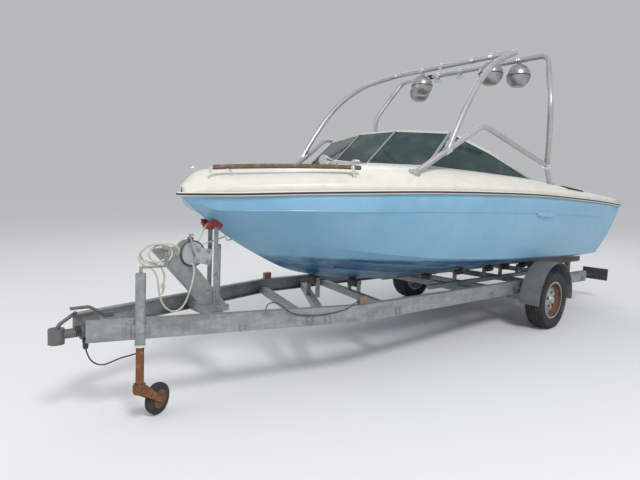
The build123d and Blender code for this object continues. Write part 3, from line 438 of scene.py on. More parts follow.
def repeated(name, spots, sizes, sides, material, body="rig"):
    """Geometry Nodes: a bolt head on its washer, or a block where sides is 0, at each (place, facing, along)."""
    mesh = bpy.data.meshes.new(name)
    mesh.from_pydata([placed(place) for place, _, _ in spots], [], [])
    turns = mesh.attributes.new("turn", "FLOAT_VECTOR", "POINT")
    for held, (_, facing, along) in zip(turns.data, spots):
        z, along = aimed(facing).normalized(), aimed(along)
        x = (along - z * z.dot(along)).normalized()
        held.vector = Matrix((x, z.cross(x), z)).transposed().to_euler()
    piece = linked(name, mesh)
    tree = bpy.data.node_groups.new(name, "GeometryNodeTree")
    kinds = dict(Places="Geometry", Length="Float", Width="Float", Height="Float", Finish="Material")
    for label, kind in kinds.items():
        tree.interface.new_socket(label, in_out="INPUT", socket_type="NodeSocket" + kind)
    tree.interface.new_socket("Shape", in_out="OUTPUT", socket_type="NodeSocketGeometry")
    start = node(tree, "NodeGroupInput").outputs

    def part(label, share):
        return node(tree, "ShaderNodeMath", {0: start[label], 1: share}, operation="MULTIPLY")

    if sides:
        bolt = {"Vertices": sides, "Radius": part("Width", 0.5), "Depth": start["Height"]}
        washer = {"Vertices": 20, "Radius": part("Width", 0.72), "Depth": part("Height", 0.35)}
        shape = node(tree, "GeometryNodeJoinGeometry")
        for cylinder in (bolt, washer):
            plug(tree, shape, {0: node(tree, "GeometryNodeMeshCylinder", cylinder)})
    else:
        size = {"X": start["Length"], "Y": start["Width"], "Z": start["Height"]}
        shape = node(tree, "GeometryNodeMeshCube", {"Size": node(tree, "ShaderNodeCombineXYZ", size)})
    turn = node(tree, "GeometryNodeInputNamedAttribute", {"Name": "turn"}, data_type="FLOAT_VECTOR")
    turn = node(tree, "FunctionNodeEulerToRotation", {0: turn.outputs["Attribute"]})
    put = {"Points": start["Places"], "Instance": shape, "Rotation": turn}
    real = node(tree, "GeometryNodeRealizeInstances", {0: node(tree, "GeometryNodeInstanceOnPoints", put)})
    painted = node(tree, "GeometryNodeSetMaterial", {"Geometry": real, "Material": start["Finish"]})
    node(tree, "NodeGroupOutput", {0: painted})
    sown = piece.modifiers.new("repeat", "NODES")
    sown.node_group = tree
    values = dict(zip(("Length", "Width", "Height"), sizes), Finish=material)
    for socket in tree.interface.items_tree:
        if socket.name in values:
            sown[socket.identifier] = values[socket.name]
    settle(piece)
    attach(piece, body)


def new_curve(name, runs, thickness, fineness):
    """Curve object with one open NURBS spline through each run of level-frame points."""
    curve = bpy.data.curves.new(name, "CURVE")
    curve.dimensions = "3D"
    curve.bevel_depth = thickness / 2
    curve.bevel_resolution = 4
    curve.resolution_u = fineness
    curve.use_fill_caps = True
    for run in runs:
        spline = curve.splines.new("NURBS")
        spline.points.add(len(run) - 1)
        for point, place in zip(spline.points, run):
            point.co = (*at(*place), 1)
        spline.order_u = 3
        spline.use_endpoint_u = True
    return linked(name, curve)


def as_mesh(piece):
    """Mesh of a curve object, which goes."""
    mesh = mesh_of(piece)
    bpy.data.objects.remove(piece)
    return mesh


def pipe(name, runs, diameter, material, slot=None, *replaces):
    """Bent round bars along smooth lines through level-frame points."""
    mesh = as_mesh(new_curve(name, runs, diameter, 10))
    shape = [v.co.copy() for v in mesh.vertices], [tuple(p.vertices) for p in mesh.polygons]
    return build(name, shape, material, slot, *replaces, sharp=40)


def cord(name, route, diameter, material, strands=0):
    """Free cord on a NURBS spline through a route of level-frame points, plain or of twisted strands."""
    piece = new_curve(name, [route], 0 if strands else diameter, 16 if strands else 8)
    path = None
    if strands:
        path = [v.co.copy() for v in as_mesh(piece).vertices]
        run, turns = 0.0, [[] for _ in range(strands)]
        for before, (here, side, up) in zip(path[:1] + path, travelled(path)):
            run += (here - before).length
            for turn, (c, s) in zip(turns, around(strands, 2 * math.pi * run / (ROPE_TURN * diameter))):
                turn.append(here + (side * c + up * s) * diameter * STRAND_OFFSET)
        piece = build(name, [tube(turn, diameter * STRAND_RADIUS) for turn in turns], material)
    else:
        piece.data.materials.append(material)
        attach(piece, "rig")


def cushion(name, low, high, material, *replaces, body="rig", squeeze=None):
    """Padded form between two level-frame corners, blown up by a cloth simulation."""
    shrink, inset, drop, swell, frames = 9, 14, 16, 0.010, 14
    box = [[a + shrink for a in low], [b - shrink for b in high]]
    box[0][2] = low[2] + 1
    steps = [max(2, round((b - a) / 60)) for a, b in zip(*box)]
    middle = (low[0] + high[0]) / 2

    def narrowed(x, w):
        return (x - middle) * squeeze(w) + middle if squeeze else x

    def spot(u, v, w):
        x, y, z = [a + (b - a) * t for a, b, t in zip(*box, (u, v, w))]
        return at(narrowed(x, w), y, z)

    sides = []
    for axis in range(3):
        rows, columns = [count for other, count in enumerate(steps) if other != axis]
        for end in (0, 1):
            rings = []
            for i in range(rows + 1):
                flats = [(i / rows, j / columns) for j in range(columns + 1)]
                rings.append([spot(*flat[:axis], end, *flat[axis:]) for flat in flats])
            sides.append(skin(rings, wrap=False, caps=False))
    piece = build(name, sides, material, "vinyl", body=body)
    modified(piece, "REMESH", mode="VOXEL", voxel_size=0.012)
    before = [v.co.copy() for v in piece.data.vertices]
    air = piece.modifiers.new("air", "CLOTH")
    air.settings.use_pressure = True
    air.settings.uniform_pressure_force = 4
    air.settings.quality = 4
    air.settings.effector_weights.gravity = 0
    air.point_cache.frame_start = 1
    air.point_cache.frame_end = frames
    for number in range(1, frames + 1):
        bpy.context.scene.frame_set(number)
    settle(piece)
    floor, up = at(middle, 0, low[2] + 0.5), turned(*UP)
    for vertex, old in zip(piece.data.vertices, before):
        move = vertex.co - old
        if move.length > swell:
            vertex.co = old + move * (swell / move.length)
        depth = (vertex.co - floor).dot(up)
        if depth < 0:
            vertex.co -= up * depth
    bpy.context.scene.frame_set(1)
    modified(piece, "SMOOTH", iterations=6, factor=0.5)
    modified(piece, "SUBSURF", levels=1, render_levels=1)
    for polygon in piece.data.polygons:
        polygon.use_smooth = True
    if replaces:
        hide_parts(*replaces)
    seam = []
    for c, s in around(48):
        u, v = [0.5 + 0.5 * superround(value, 0.25) for value in (c, s)]
        x, y = [a + inset + (b - a - 2 * inset) * t for a, b, t in zip(low, high, (u, v))]
        seam.append(at(narrowed(x, 1 - drop / (high[2] - low[2])), y, high[2] - drop))
    build(name + "_piping", tube(seam, 0.0045, closed=True), material, "vinyl", body=body)


# Settings


class RunaboutHullSettings(bpy.types.PropertyGroup):
    topside: FloatVectorProperty(
        name="Topside", description="Colour of the topsides", subtype="COLOR", default=(0.20, 0.42, 0.60)
    )
    antifouling: FloatVectorProperty(
        name="Antifouling", description="Colour of the bottom paint", subtype="COLOR", default=(0.002, 0.07, 0.20)
    )
    deck: FloatVectorProperty(
        name="Deck", description="Colour of the deck moulding", subtype="COLOR", default=(0.74, 0.72, 0.655)
    )
    waterline: FloatProperty(
        name="Waterline", description="Height of the bottom paint", subtype="DISTANCE", default=0.762
    )
    stations: IntProperty(name="Sections", description="Sections along the hull", default=64, min=12)


class RunaboutTowerSettings(bpy.types.PropertyGroup):
    metal: FloatVectorProperty(
        name="Tube", description="Colour of the tower's tubes", subtype="COLOR", default=(0.50, 0.50, 0.51)
    )


class RunaboutTrailerSettings(bpy.types.PropertyGroup):
    zinc: FloatVectorProperty(
        name="Zinc", description="Colour of the galvanised frame", subtype="COLOR", default=(0.30, 0.32, 0.32)
    )
    rust: FloatVectorProperty(name="Rust", description="Colour of rust", subtype="COLOR", default=(0.22, 0.09, 0.04))
    bolt: FloatProperty(name="Bolt", description="Width of a bolt head", subtype="DISTANCE", default=0.019)


class RunaboutStageSettings(bpy.types.PropertyGroup):
    floor: FloatVectorProperty(
        name="Floor", description="Colour of the floor", subtype="COLOR", default=(0.80, 0.80, 0.80)
    )
    sky: FloatProperty(name="Sky", description="Strength of the even light from all round", default=0.62)
    lens: FloatProperty(name="Lens", description="Focal length of the camera in millimetres", default=27.45)


# Pieces


class RUNABOUT_OT_stage(bpy.types.Operator):
    """Floor, lamps and the camera at the photograph's viewing angle"""

    bl_idname = "runabout.stage"
    bl_label = "Stage"

    def execute(self, context):
        scene, settings = context.scene, setting("stage")
        scene.view_settings.view_transform = "Standard"
        mesh = bpy.data.meshes.new("floor")
        mesh.from_pydata([(400 * c, 400 * s, 0) for c, s in around(64)], [], [tuple(range(64))])
        paint = bpy.data.materials.new("pale floor")
        paint.use_nodes = True
        looks = {"Base Color": (*settings.floor, 1), "Roughness": 0.95, "Specular IOR Level": 0.1}
        plug(paint.node_tree, paint.node_tree.nodes["Principled BSDF"], looks)
        mesh.materials.append(paint)
        linked("floor", mesh)
        scene.world = bpy.data.worlds.new("studio")
        scene.world.use_nodes = True
        tree = scene.world.node_tree
        sky = (0.95, 0.98, 1.0)
        back = tree.nodes["Background"]
        plug(tree, back, {"Color": (*sky, 1), "Strength": settings.sky})
        dimmed = [c * settings.sky * 0.8 for c in sky]
        seen = node(tree, "ShaderNodeBackground", {"Color": (*dimmed, 1), "Strength": 1.0})
        direct = node(tree, "ShaderNodeLightPath").outputs["Is Camera Ray"]
        mix = node(tree, "ShaderNodeMixShader", {"Fac": direct, 1: back, 2: seen})
        plug(tree, tree.nodes["World Output"], {"Surface": mix})
        for name, place, target, size, power in (
            ("key", (4.0, 7.0, 8.5), (0, 0, 0.8), 2.5, 620),
            ("fill", (9.0, -3.0, 4.0), (1, 0, 0.8), 5.0, 110),
            ("back", (-6.0, -6.0, 6.0), (0, 0, 1.0), 5.0, 150),
        ):
            light = bpy.data.lights.new(name, "AREA")
            light.size = size
            light.energy = power
            way = (Vector(target) - Vector(place)).to_track_quat("-Z", "Y")
            linked(name, light).matrix_world = Matrix.Translation(place) @ way.to_matrix().to_4x4()
        lens = bpy.data.cameras.new("camera")
        lens.lens = settings.lens
        lens.sensor_width = 36
        right = turned(-0.755241, 0.654053, 0.04273)
        up = turned(-0.025524, -0.09449, 0.995199)
        behind = turned(0.65495, 0.750524, 0.088056)
        turn = Matrix((right, up, behind)).transposed().to_4x4()
        scene.camera = linked("camera", lens)
        scene.camera.matrix_world = Matrix.Translation(at(5123.376, 3113.690, 1260.806)) @ turn
        return {"FINISHED"}


class RUNABOUT_OT_cords(bpy.types.Operator):
    """Rope over the winch post, the winch's line and two lamp cables"""

    bl_idname = "runabout.cords"
    bl_label = "Cords"

    def execute(self, context):
        worn = ((0.25, 0.22, 0.17), 14, 0.5, 0.75, 0.7, 0.95)
        fibre = surface("weathered rope", (0.60, 0.56, 0.48), 0.9, worn, bump=(900, 0.4, 0.0006))
        sheath = surface("cable sheath", (0.025, 0.025, 0.028), 0.5, ((0.14, 0.13, 0.12), 20, *STAINED))
        cord("tow_rope", TOW_ROPE, 0.012, fibre, strands=3)
        cord("slack_rope", SLACK_ROPE, 0.010, fibre, strands=3)
        knot = [
            (3822, 86, 652), (3834, 90, 645), (3834, 96, 632), (3820, 98, 628), (3811, 92, 636), (3814, 84, 648),
            (3828, 82, 650),
        ]
        tail = [(3820, 90, 640), (3818, 92, 622), (3824, 92, 600), (3834, 90, 585)]
        tied = [pipe("hank_knot", [knot, tail], 0.013, fibre)]
        cord("hank_rope", HANK_ROPE, 0.012, fibre, strands=3)
        cord("winch_rope", WINCH_ROPE, 0.010, fibre, strands=3)
        cord("beam_cable", BEAM_CABLE, 0.007, sheath)
        shell = [(-4, 6), (-4, 12), (8, 16.5), (34, 16.5), (36, 18.5), (54, 18.5), (56, 0)]
        plug_end = [build("parked_plug", lathe(shell, NOSE_CABLE[-1], UP, 32), sheath, sharp=30)]
        cord("coupling_cable", NOSE_CABLE, 0.009, sheath)
        return {"FINISHED"}


class RUNABOUT_OT_hull(bpy.types.Operator):
    """Hull shell in faded paint over streaked bottom paint"""

    bl_idname = "runabout.hull"
    bl_label = "Hull"

    def execute(self, context):
        settings = setting("hull")
        # the material's level frame turns about the row's origin, not about the axle's foot
        edge = settings.waterline - AXLE[0] * math.sin(LEAN) - TYRE_RADIUS * (1 - math.cos(LEAN))
        paint = surface(
            "hull paint", settings.topside, 0.42,
            ((0.30, 0.50, 0.66), (1.2, 1.2, 0.9), 0.45, 0.75, 0.5, 0.55),
            ((0.15, 0.27, 0.36), (2.5, 2.5, 14), 0.62, 0.8, 0.3, 0.6),
            ((0.50, 0.60, 0.66), (7, 7, 1.2), 0.62, 0.8, 0.25, 0.7),
            coat=0.25, band=(edge, 0.012, settings.antifouling, (0.16, 0.37, 0.44), (1.6, 6, 10), 0.028),
            bump=(3, 0.04, 0.004),
        )

        def bottom(x, t):
            """Half width and height of the bottom at a share of the way from keel to chine."""
            keel_z, chine_y, chine_z = row_at(x)[:3]
            belly = 10 * math.sin(math.pi * t) * min(1, chine_y / 400)
            return chine_y * t, keel_z + (chine_z - keel_z) * t - belly

        def profile(x):
            _, chine_y, chine_z, knuckle_y, knuckle_z, sheer_y, sheer_z, _ = row_at(x)
            points = [bottom(x, t) for t in (0, 0.25, 0.5, 0.75, 1)]
            for t in (0.02, 0.25, 0.5, 0.75, 0.98, 1):
                swell = 14 * math.sin(math.pi * t) * min(1, chine_y / 600)
                points.append((chine_y + (knuckle_y - chine_y) * t + swell, chine_z + (knuckle_z - chine_z) * t))
            for t in (0.5, 1):
                y = knuckle_y + (sheer_y - knuckle_y) * t + 4 * (t < 1)
                points.append((y, knuckle_z + (sheer_z - knuckle_z) * t))
            return points

        shell = build("hull_shell", lofted(profile, True), paint, "hull", "hull", sharp=17)
        modified(shell, "SOLIDIFY", thickness=0.02, offset=-1)
        boss = [(420 + 185 * superround(c, 0.7), 1188 + 24 * s) for c, s in around(32)]
        strakes = []
        for side in SIDES:
            for share in (0.42, 0.72):
                run = [(x, *bottom(x, share)) for x in range(-1380, 2500, 60)]
                strakes.append(tube([at(x, side * y, z) for x, y, z in run], 0.011))
            run = [(x, *row_at(x)[3:5]) for x in range(-1000, 3420, 60)]
            strakes.append(tube([at(x, side * (y + 1), z) for x, y, z in run], 0.0045))
            strakes.append(slab(boss, 1, side * 980, side * 1008))
        build("spray_strakes", strakes, paint, "hull", sharp=35)
        return {"FINISHED"}


class RUNABOUT_OT_deck(bpy.types.Operator):
    """Deck moulding, rubbing strake, liner and the boxes in the cockpit"""

    bl_idname = "runabout.deck"
    bl_label = "Deck and cockpit"

    def execute(self, context):
        cream = surface(
            "deck gelcoat", setting("hull").deck, 0.45,
            ((0.42, 0.39, 0.32), 5, 0.56, 0.8, 0.4, 0.7),
            ((0.30, 0.28, 0.23), (24, 24, 8), 0.64, 0.8, 0.35, 0.7),
            coat=0.15, bump=(300, 0.05, 0.0005),
        )
        stain = ((0.2, 0.2, 0.19), (20, 20, 60), 0.6, 0.8, 0.4, 0.8)
        rubber = surface("black strake", (0.02, 0.02, 0.022), 0.6, stain)
        inner = surface("liner paint", (0.50, 0.48, 0.42), 0.6, ((0.24, 0.22, 0.17), 5, *STAINED))
        iron = surface("engine enamel", (0.05, 0.05, 0.055), 0.5, ((0.2, 0.1, 0.05), 12, 0.6, 0.8, 0.5, 0.8))
        helm = surface("helm plastic", (0.03, 0.03, 0.03), 0.5, ((0.12, 0.12, 0.11), 15, *SCUFFED))
        vent = surface("vent plastic", (0.02, 0.02, 0.02), 0.55, ((0.1, 0.1, 0.09), 15, *SCUFFED))

        def profile(x):
            sheer_y, sheer_z, crown_z = row_at(x)[5:8]
            share = min(1.0, sheer_y / 300)
            edge = sheer_y - min(200.0, 0.42 * sheer_y)
            points = [(edge * t, crown_z + 35 * share * (1 - t**2.4)) for t in (0, 0.2, 0.4, 0.6, 0.8, 0.94)]
            low_y, low_z = sheer_y - 21 * share, sheer_z + 56 * share
            for t in (0.12, 0.3, 0.55, 0.8, 1):
                bow = 12 * share * math.sin(math.pi * t)
                points.append((edge + (low_y - edge) * t, crown_z + (low_z - crown_z) * t + bow))
            return points + [(sheer_y - a * share, sheer_z + b * share) for a, b in ((10, 53), (5, 44), (0, 0))]

        deck = build("deck_moulding", lofted(profile, False), cream, "deck", "deck", sharp=24, skyward=True)
        modified(deck, "SOLIDIFY", thickness=0.015, offset=-1)
        half = [(-1330, 690), (1500, 690), (1930, 560)]
        cutter = build("cutter", slab(half + [(x, -y) for x, y in reversed(half)], 2, 830, 2000), cream)
        modified(deck, "BOOLEAN", object=cutter, operation="DIFFERENCE")
        bpy.data.objects.remove(cutter)
        lip = [(-4, -22), (9, -22), (14, -18), (14, 3), (10, 8), (-4, 8)]
        build("strake_lips", belt(lip), cream, "rubrail", "rubrail", sharp=30)
        build("strake_insert", belt([(10, -14), (19, -12), (19, -2), (10, 0)]), rubber, "rubrail", sharp=30)
        dress(inner, "liner", "engine_box", "engine_lid", "consoles")
        dress(iron, "engine")
        dress(helm, "helm_column", "steering_wheel")
        slats, plates = [], []
        lean, fall = math.radians(13), math.radians(3.1)
        ahead = turned(math.cos(fall), 0, math.sin(fall))

        def on_deck(x, side, z):
            """Place on the side deck, which rises forward."""
            return x, side * 905, z + 0.055 * (x + 467)

        for side in SIDES:
            up = (0, side * math.sin(lean), math.cos(lean))
            plates.append(bar(on_deck(-550, side, 1452), on_deck(-160, side, 1452), 90, 10, up))
            for step in range(18):
                x = -540 + 370 * (step + 0.5) / 18
                slats.append((on_deck(x, side, 1458), turned(*up) + ahead * 0.5, ahead))
        build("vent_plates", plates, vent, "black", "side_vents", sharp=0, bevel=0.003)
        repeated("vent_louvres", slats, (0.014, 0.076, 0.004), 0, vent)
        return {"FINISHED"}


class RUNABOUT_OT_seats(bpy.types.Operator):
    """Padded seats and the sun pad on the engine lid"""

    bl_idname = "runabout.seats"
    bl_label = "Seats"

    def execute(self, context):
        dull = ((0.32, 0.28, 0.22), 4, 0.5, 0.8, 0.5, 0.7)
        vinyl = surface("seat vinyl", (0.56, 0.52, 0.45), 0.5, dull, bump=(260, 0.25, 0.0008))
        board = surface("ply board", (0.30, 0.22, 0.15), 0.7, grain=(3, 40, 40), bump=(1, 0.3, 0.001))
        dress(board, "seat_bases", "engine_beds")

        def taper(height):
            return 1 - 0.55 * height

        for side, hand in SIDES.items():
            pads, backs, afts = (("seat_pads",), ("seat_backs",), ("aft_pads",)) if side == 1 else ((), (), ())
            y0, y1 = side * 420 - 215, side * 420 + 215
            cushion("seat_%s_fore" % hand, (693, y0, 1060), (1227, y1, 1150), vinyl, *pads)
            cushion("seat_%s_aft" % hand, (153, y0, 1060), (687, y1, 1150), vinyl)
            cushion("back_" + hand, (530, y0, 1151), (850, y1, 1450), vinyl, *backs, squeeze=taper)
            low, high = (-1310, side * 570 - 110, 830), (-710, side * 570 + 110, 1160)
            cushion("aft_pad_" + hand, low, high, vinyl, *afts)
        cushion("sun_pad", (-1190, -420, 1270.5), (-440, 420, 1330), vinyl, "lid_pad", body="engine_hatch")
        return {"FINISHED"}


class RUNABOUT_OT_windscreen(bpy.types.Operator):
    """Windscreen frame and panes"""

    bl_idname = "runabout.windscreen"
    bl_label = "Windscreen"

    def execute(self, context):
        white = surface("screen rail", (0.66, 0.65, 0.60), 0.45, ((0.34, 0.32, 0.28), 20, *SCUFFED))
        grime = ((0.28, 0.27, 0.25), 20, *SCUFFED)
        alloy = surface("screen post", (0.50, 0.50, 0.49), 0.35, grime, metal=0.8)
        fleck = ((0.2, 0.12, 0.08), 60, 0.5, 0.7, 0.5, 0.8)
        steel = surface("screw steel", (0.35, 0.34, 0.33), 0.35, fleck, metal=0.9)
        tinted = surface("screen glass", (0.035, 0.085, 0.085), 0.03, ((0.55, 0.56, 0.52), 5, 0.5, 0.8, 0.25, 0.4))
        shader = tinted.node_tree.nodes["Principled BSDF"]
        plug(tinted.node_tree, shader, {"Transmission Weight": 0.85, "IOR": 1.45})
        half_low = [(2105, 220, 1556), (1985, 745, 1532), (330, 780, 1520)]
        half_top = [(1757, 220, 1870), (1656, 712, 1831), (1140, 770, 1713)]
        rails, posts, screws, panes = [], [], [], []
        for flip in (tuple, over):
            low_mid, low_corner, low_end = map(flip, half_low)
            top_mid, top_corner, top_side = map(flip, half_top)
            rails += [(top_mid, top_corner), (top_corner, top_side), (top_side, low_end)]
            posts += [(low_mid, top_mid), (low_corner, top_corner), (low_mid, low_corner), (low_corner, low_end)]
            panes += [(low_mid, low_corner, top_corner, top_mid), (low_corner, low_end, top_side, top_corner)]
        rails.append((over(top_mid), top_mid))
        posts.append((over(low_mid), low_mid))
        panes.append((over(low_mid), low_mid, top_mid, over(top_mid)))
        for a, b in rails:
            run = at(*b) - at(*a)
            ahead = abs(a[1]) < 700 or abs(b[1]) < 700
            outward = Vector((1, 0, 0.6) if ahead else (0, math.copysign(1, a[1] + b[1]), 0.6)).normalized()
            count = max(2, round(run.length / 0.13))
            for step in range(count):
                screws.append((at(*a) + run * (step + 0.5) / count + outward * 0.0105, outward, run))
        glazing = []
        for corners in panes:
            ring = [at(*place) for place in corners]
            out = (ring[1] - ring[0]).cross(ring[-1] - ring[0]).normalized() * 0.0025
            edges = [(i, (i + 1) % 4, (i + 1) % 4 + 4, i + 4) for i in range(4)]
            points = [place + out for place in ring] + [place - out for place in ring]
            glazing.append((points, [(0, 1, 2, 3), (7, 6, 5, 4)] + edges))
        rails = [bar(a, b, 24, 18) for a, b in rails]
        posts = [bar(a, b, 17, 17) for a, b in posts]
        build("screen_rails", rails, white, "frame_white", "windscreen_frame", sharp=0)
        build("screen_posts", posts, alloy, "frame_white", sharp=0)
        repeated("screen_screws", screws, (0, 0.007, 0.003), 12, steel)
        build("screen_panes", glazing, tinted, "glass", "windscreen_glass", sharp=0)
        return {"FINISHED"}


class RUNABOUT_OT_tower(bpy.types.Operator):
    """Tower tubes, clamps, speaker pods and lamps"""

    bl_idname = "runabout.tower"
    bl_label = "Tower"

    def execute(self, context):
        fine = (40, 0.03, 0.0003)
        dull = ((0.30, 0.30, 0.29), 2.5, 0.42, 0.7, 0.6, 0.5)
        metal = surface("tower tube", setting("tower").metal, 0.36, dull, metal=0.6, bump=fine)
        stain = ((0.2, 0.19, 0.18), 4, 0.45, 0.72, 0.6, 0.5)
        pod = surface("pod metal", (0.42, 0.42, 0.44), 0.32, stain, metal=0.75, bump=fine)
        spots = ((0.4, 0.37, 0.33), 8, 0.6, 0.8, 0.4, 0.5)
        chrome = surface("chrome", (0.74, 0.74, 0.76), 0.14, spots, metal=1.0, bump=fine)
        black = surface("tape and grille", (0.02, 0.02, 0.02), 0.6, ((0.1, 0.1, 0.1), 30, *SCUFFED))
        glint = ((0.6, 0.68, 0.75), 40, 0.5, 0.8, 0.4, 0.2)
        lens = surface("lamp face", (0.42, 0.55, 0.68), 0.15, glint, coat=0.6)
        dress(metal, "tower_hoops")
        dress(chrome, "horn", "stanchions", "bow_eye")
        (front_x, front_z), (rear_x, rear_z) = (687.3, 2693.9), (400, 2695)
        front = [
            (1907, 887, 1688), (1644, 864, 2125), (1217, 810, 2477), (862, 758, 2623),
            (front_x, 732, front_z), (front_x, 542, front_z),
        ]
        rear = [(340, 930, 1662), (760, 1130, 2060), (480, 935, 2554), (rear_x, 880, rear_z), (rear_x, 709, rear_z)]
        for name, half in (("front", front), ("rear", rear)):
            pipe(name + "_tube", [half + [over(p) for p in reversed(half)]], 0.05, metal, "tube", name + "_arch")
        shells, seams, necks, rings, bolts = [], [], [], [], []
        outline = [(-100, 0), (-100, 60)]
        arc, bulge = math.radians(57.6), 118.4
        for step in range(1, 16):
            angle = arc * (step / 8 - 1)
            outline.append((bulge * math.sin(angle), bulge * math.cos(angle) - 3.4))
        outline += [(100, 60), (100, 0)]
        grips = [(front_x, 464, front_z), (front_x, -366, front_z), (rear_x, 600, rear_z), (rear_x, -620, rear_z)]
        for (x, y, z), drop in zip(grips, (165, 165, 154, 154)):
            shells.append(lathe(outline, (x, y, z - drop), UP, 64))
            seams.append(lathe(collar(113, 117, -4, 4), (x, y, z - drop), UP, 64))
            necks.append(bar((x, y, z - drop + 92), (x, y, z - 24), 34, 30, AHEAD))
        grips += [(front_x, y, front_z) for y in (-115, 260)] + [(rear_x, y, rear_z) for y in (-360, -70)]
        for x, y, z in grips:
            rings.append(lathe(collar(24.5, 33, -20, 20), (x, y, z), PORT))
            for offset in (-1, 1):
                bolts.append(((x + 36 * offset, y, z), UP, AHEAD))
                rings.append(bar((x + 30 * offset - 8, y, z), (x + 30 * offset + 8, y, z), 36, 14))
        for (x, y, z), way, radius in (
            ((1907, 887, 1688), (-0.514, -0.045, 0.856), 33),
            ((1907, 867, 1655), (-0.824, 0.189, 0.535), 30),
            ((340, 930, 1662), (0.686, 0.327, 0.65), 33),
            ((340, 925, 1655), (0.985, 0.02, 0.18), 30),
        ):
            for flip in (tuple, over):
                rings.append(lathe(collar(0, radius, -30, 35), flip((x, y, z)), flip(way), 32))
        build("pod_shells", shells, pod, "pod", "speaker_pods", sharp=50)
        build("pod_seams", seams, black, "pod", sharp=40)
        build("pod_necks", necks, pod, "pod", sharp=0)
        build("bar_clamps", rings, chrome, "tube", sharp=40)
        lamps, faces = [], []
        shell = [(-45, 0), (-45, 12), (-36, 23), (-15, 29), (30, 30), (35, 30), (35, 27), (29, 26), (29, 0)]
        for y in (-360, -70):
            lamps.append(lathe(shell, (rear_x, y, 2637), AHEAD))
            lamps.append(bar((rear_x, y, 2660), (rear_x, y, 2675), 14, 12, AHEAD))
            faces.append(lathe([(28, 0), (32, 25.5), (30, 26.2), (26, 0)], (rear_x, y, 2637), AHEAD))
        build("lamp_shells", lamps, chrome, "chrome", "tower_lamps", sharp=40)
        build("lamp_faces", faces, lens, "lamp", sharp=60)
        tape = lathe(collar(24.5, 26.8, -50, 50), (rear_x, -490, rear_z), PORT, 32)
        build("tape_sleeve", tape, black, "rubrail", sharp=40)
        flanges = []
        for x, y, z in ((2200, 800, 1465), (77, 860, 1470)):
            for side in SIDES:
                foot, up = at(x, side * y, z + 3), turned(0, side * 0.22, 1)
                flanges.append(lathe([(0, 0), (0, 48), (5, 46), (14, 26), (14, 0)], foot, up))
                for c, s in around(4, math.pi / 4):
                    bolts.append((foot + turned(0.037 * c, 0.037 * s, 0.010), up, AHEAD))
        build("foot_flanges", flanges, chrome, "tube", sharp=40)
        repeated("tower_bolts", bolts, (0, 0.011, 0.007), 6, chrome)
        return {"FINISHED"}


class RUNABOUT_OT_rails(bpy.types.Operator):
    """Weathered wooden rail on the foredeck and its white end"""

    bl_idname = "runabout.rails"
    bl_label = "Wooden rail"

    def execute(self, context):
        wood = surface(
            "weathered wood", (0.15, 0.085, 0.055), 0.75,
            ((0.30, 0.25, 0.20), (8, 40, 40), 0.5, 0.7, 0.8, 0.9),
            ((0.10, 0.05, 0.03), (5, 60, 60), 0.55, 0.7, 0.7, 0.8),
            grain=(4, 60, 60), bump=(1, 0.6, 0.002),
        )
        white = surface("rail end", (0.62, 0.61, 0.57), 0.5, ((0.35, 0.32, 0.28), 20, *SCUFFED))
        run = [(2680, 706, 1472), (2745, 690, 1474), (3080, 482, 1462), (3440, 262, 1436), (3545, 203, 1424)]
        pipe("wooden_rail", [run], 0.032, wood, "wood", "bow_rails")
        hook = [(3540, 206, 1424), (3556, 198, 1420), (3560, 192, 1404), (3552, 190, 1388)]
        pipe("rail_end", [hook], 0.016, white, "frame_white")
        return {"FINISHED"}


class RUNABOUT_OT_drive(bpy.types.Operator):
    """Stern drive and propeller"""

    bl_idname = "runabout.drive"
    bl_label = "Stern drive"

    def execute(self, context):
        chips = ((0.30, 0.30, 0.30), 14, 0.6, 0.8, 0.5, 0.6)
        enamel = surface("drive enamel", (0.05, 0.05, 0.055), 0.42, chips, metal=0.2)
        dress(enamel, "transom_housing", "drive_yoke", "drive_leg", "propeller")
        return {"FINISHED"}


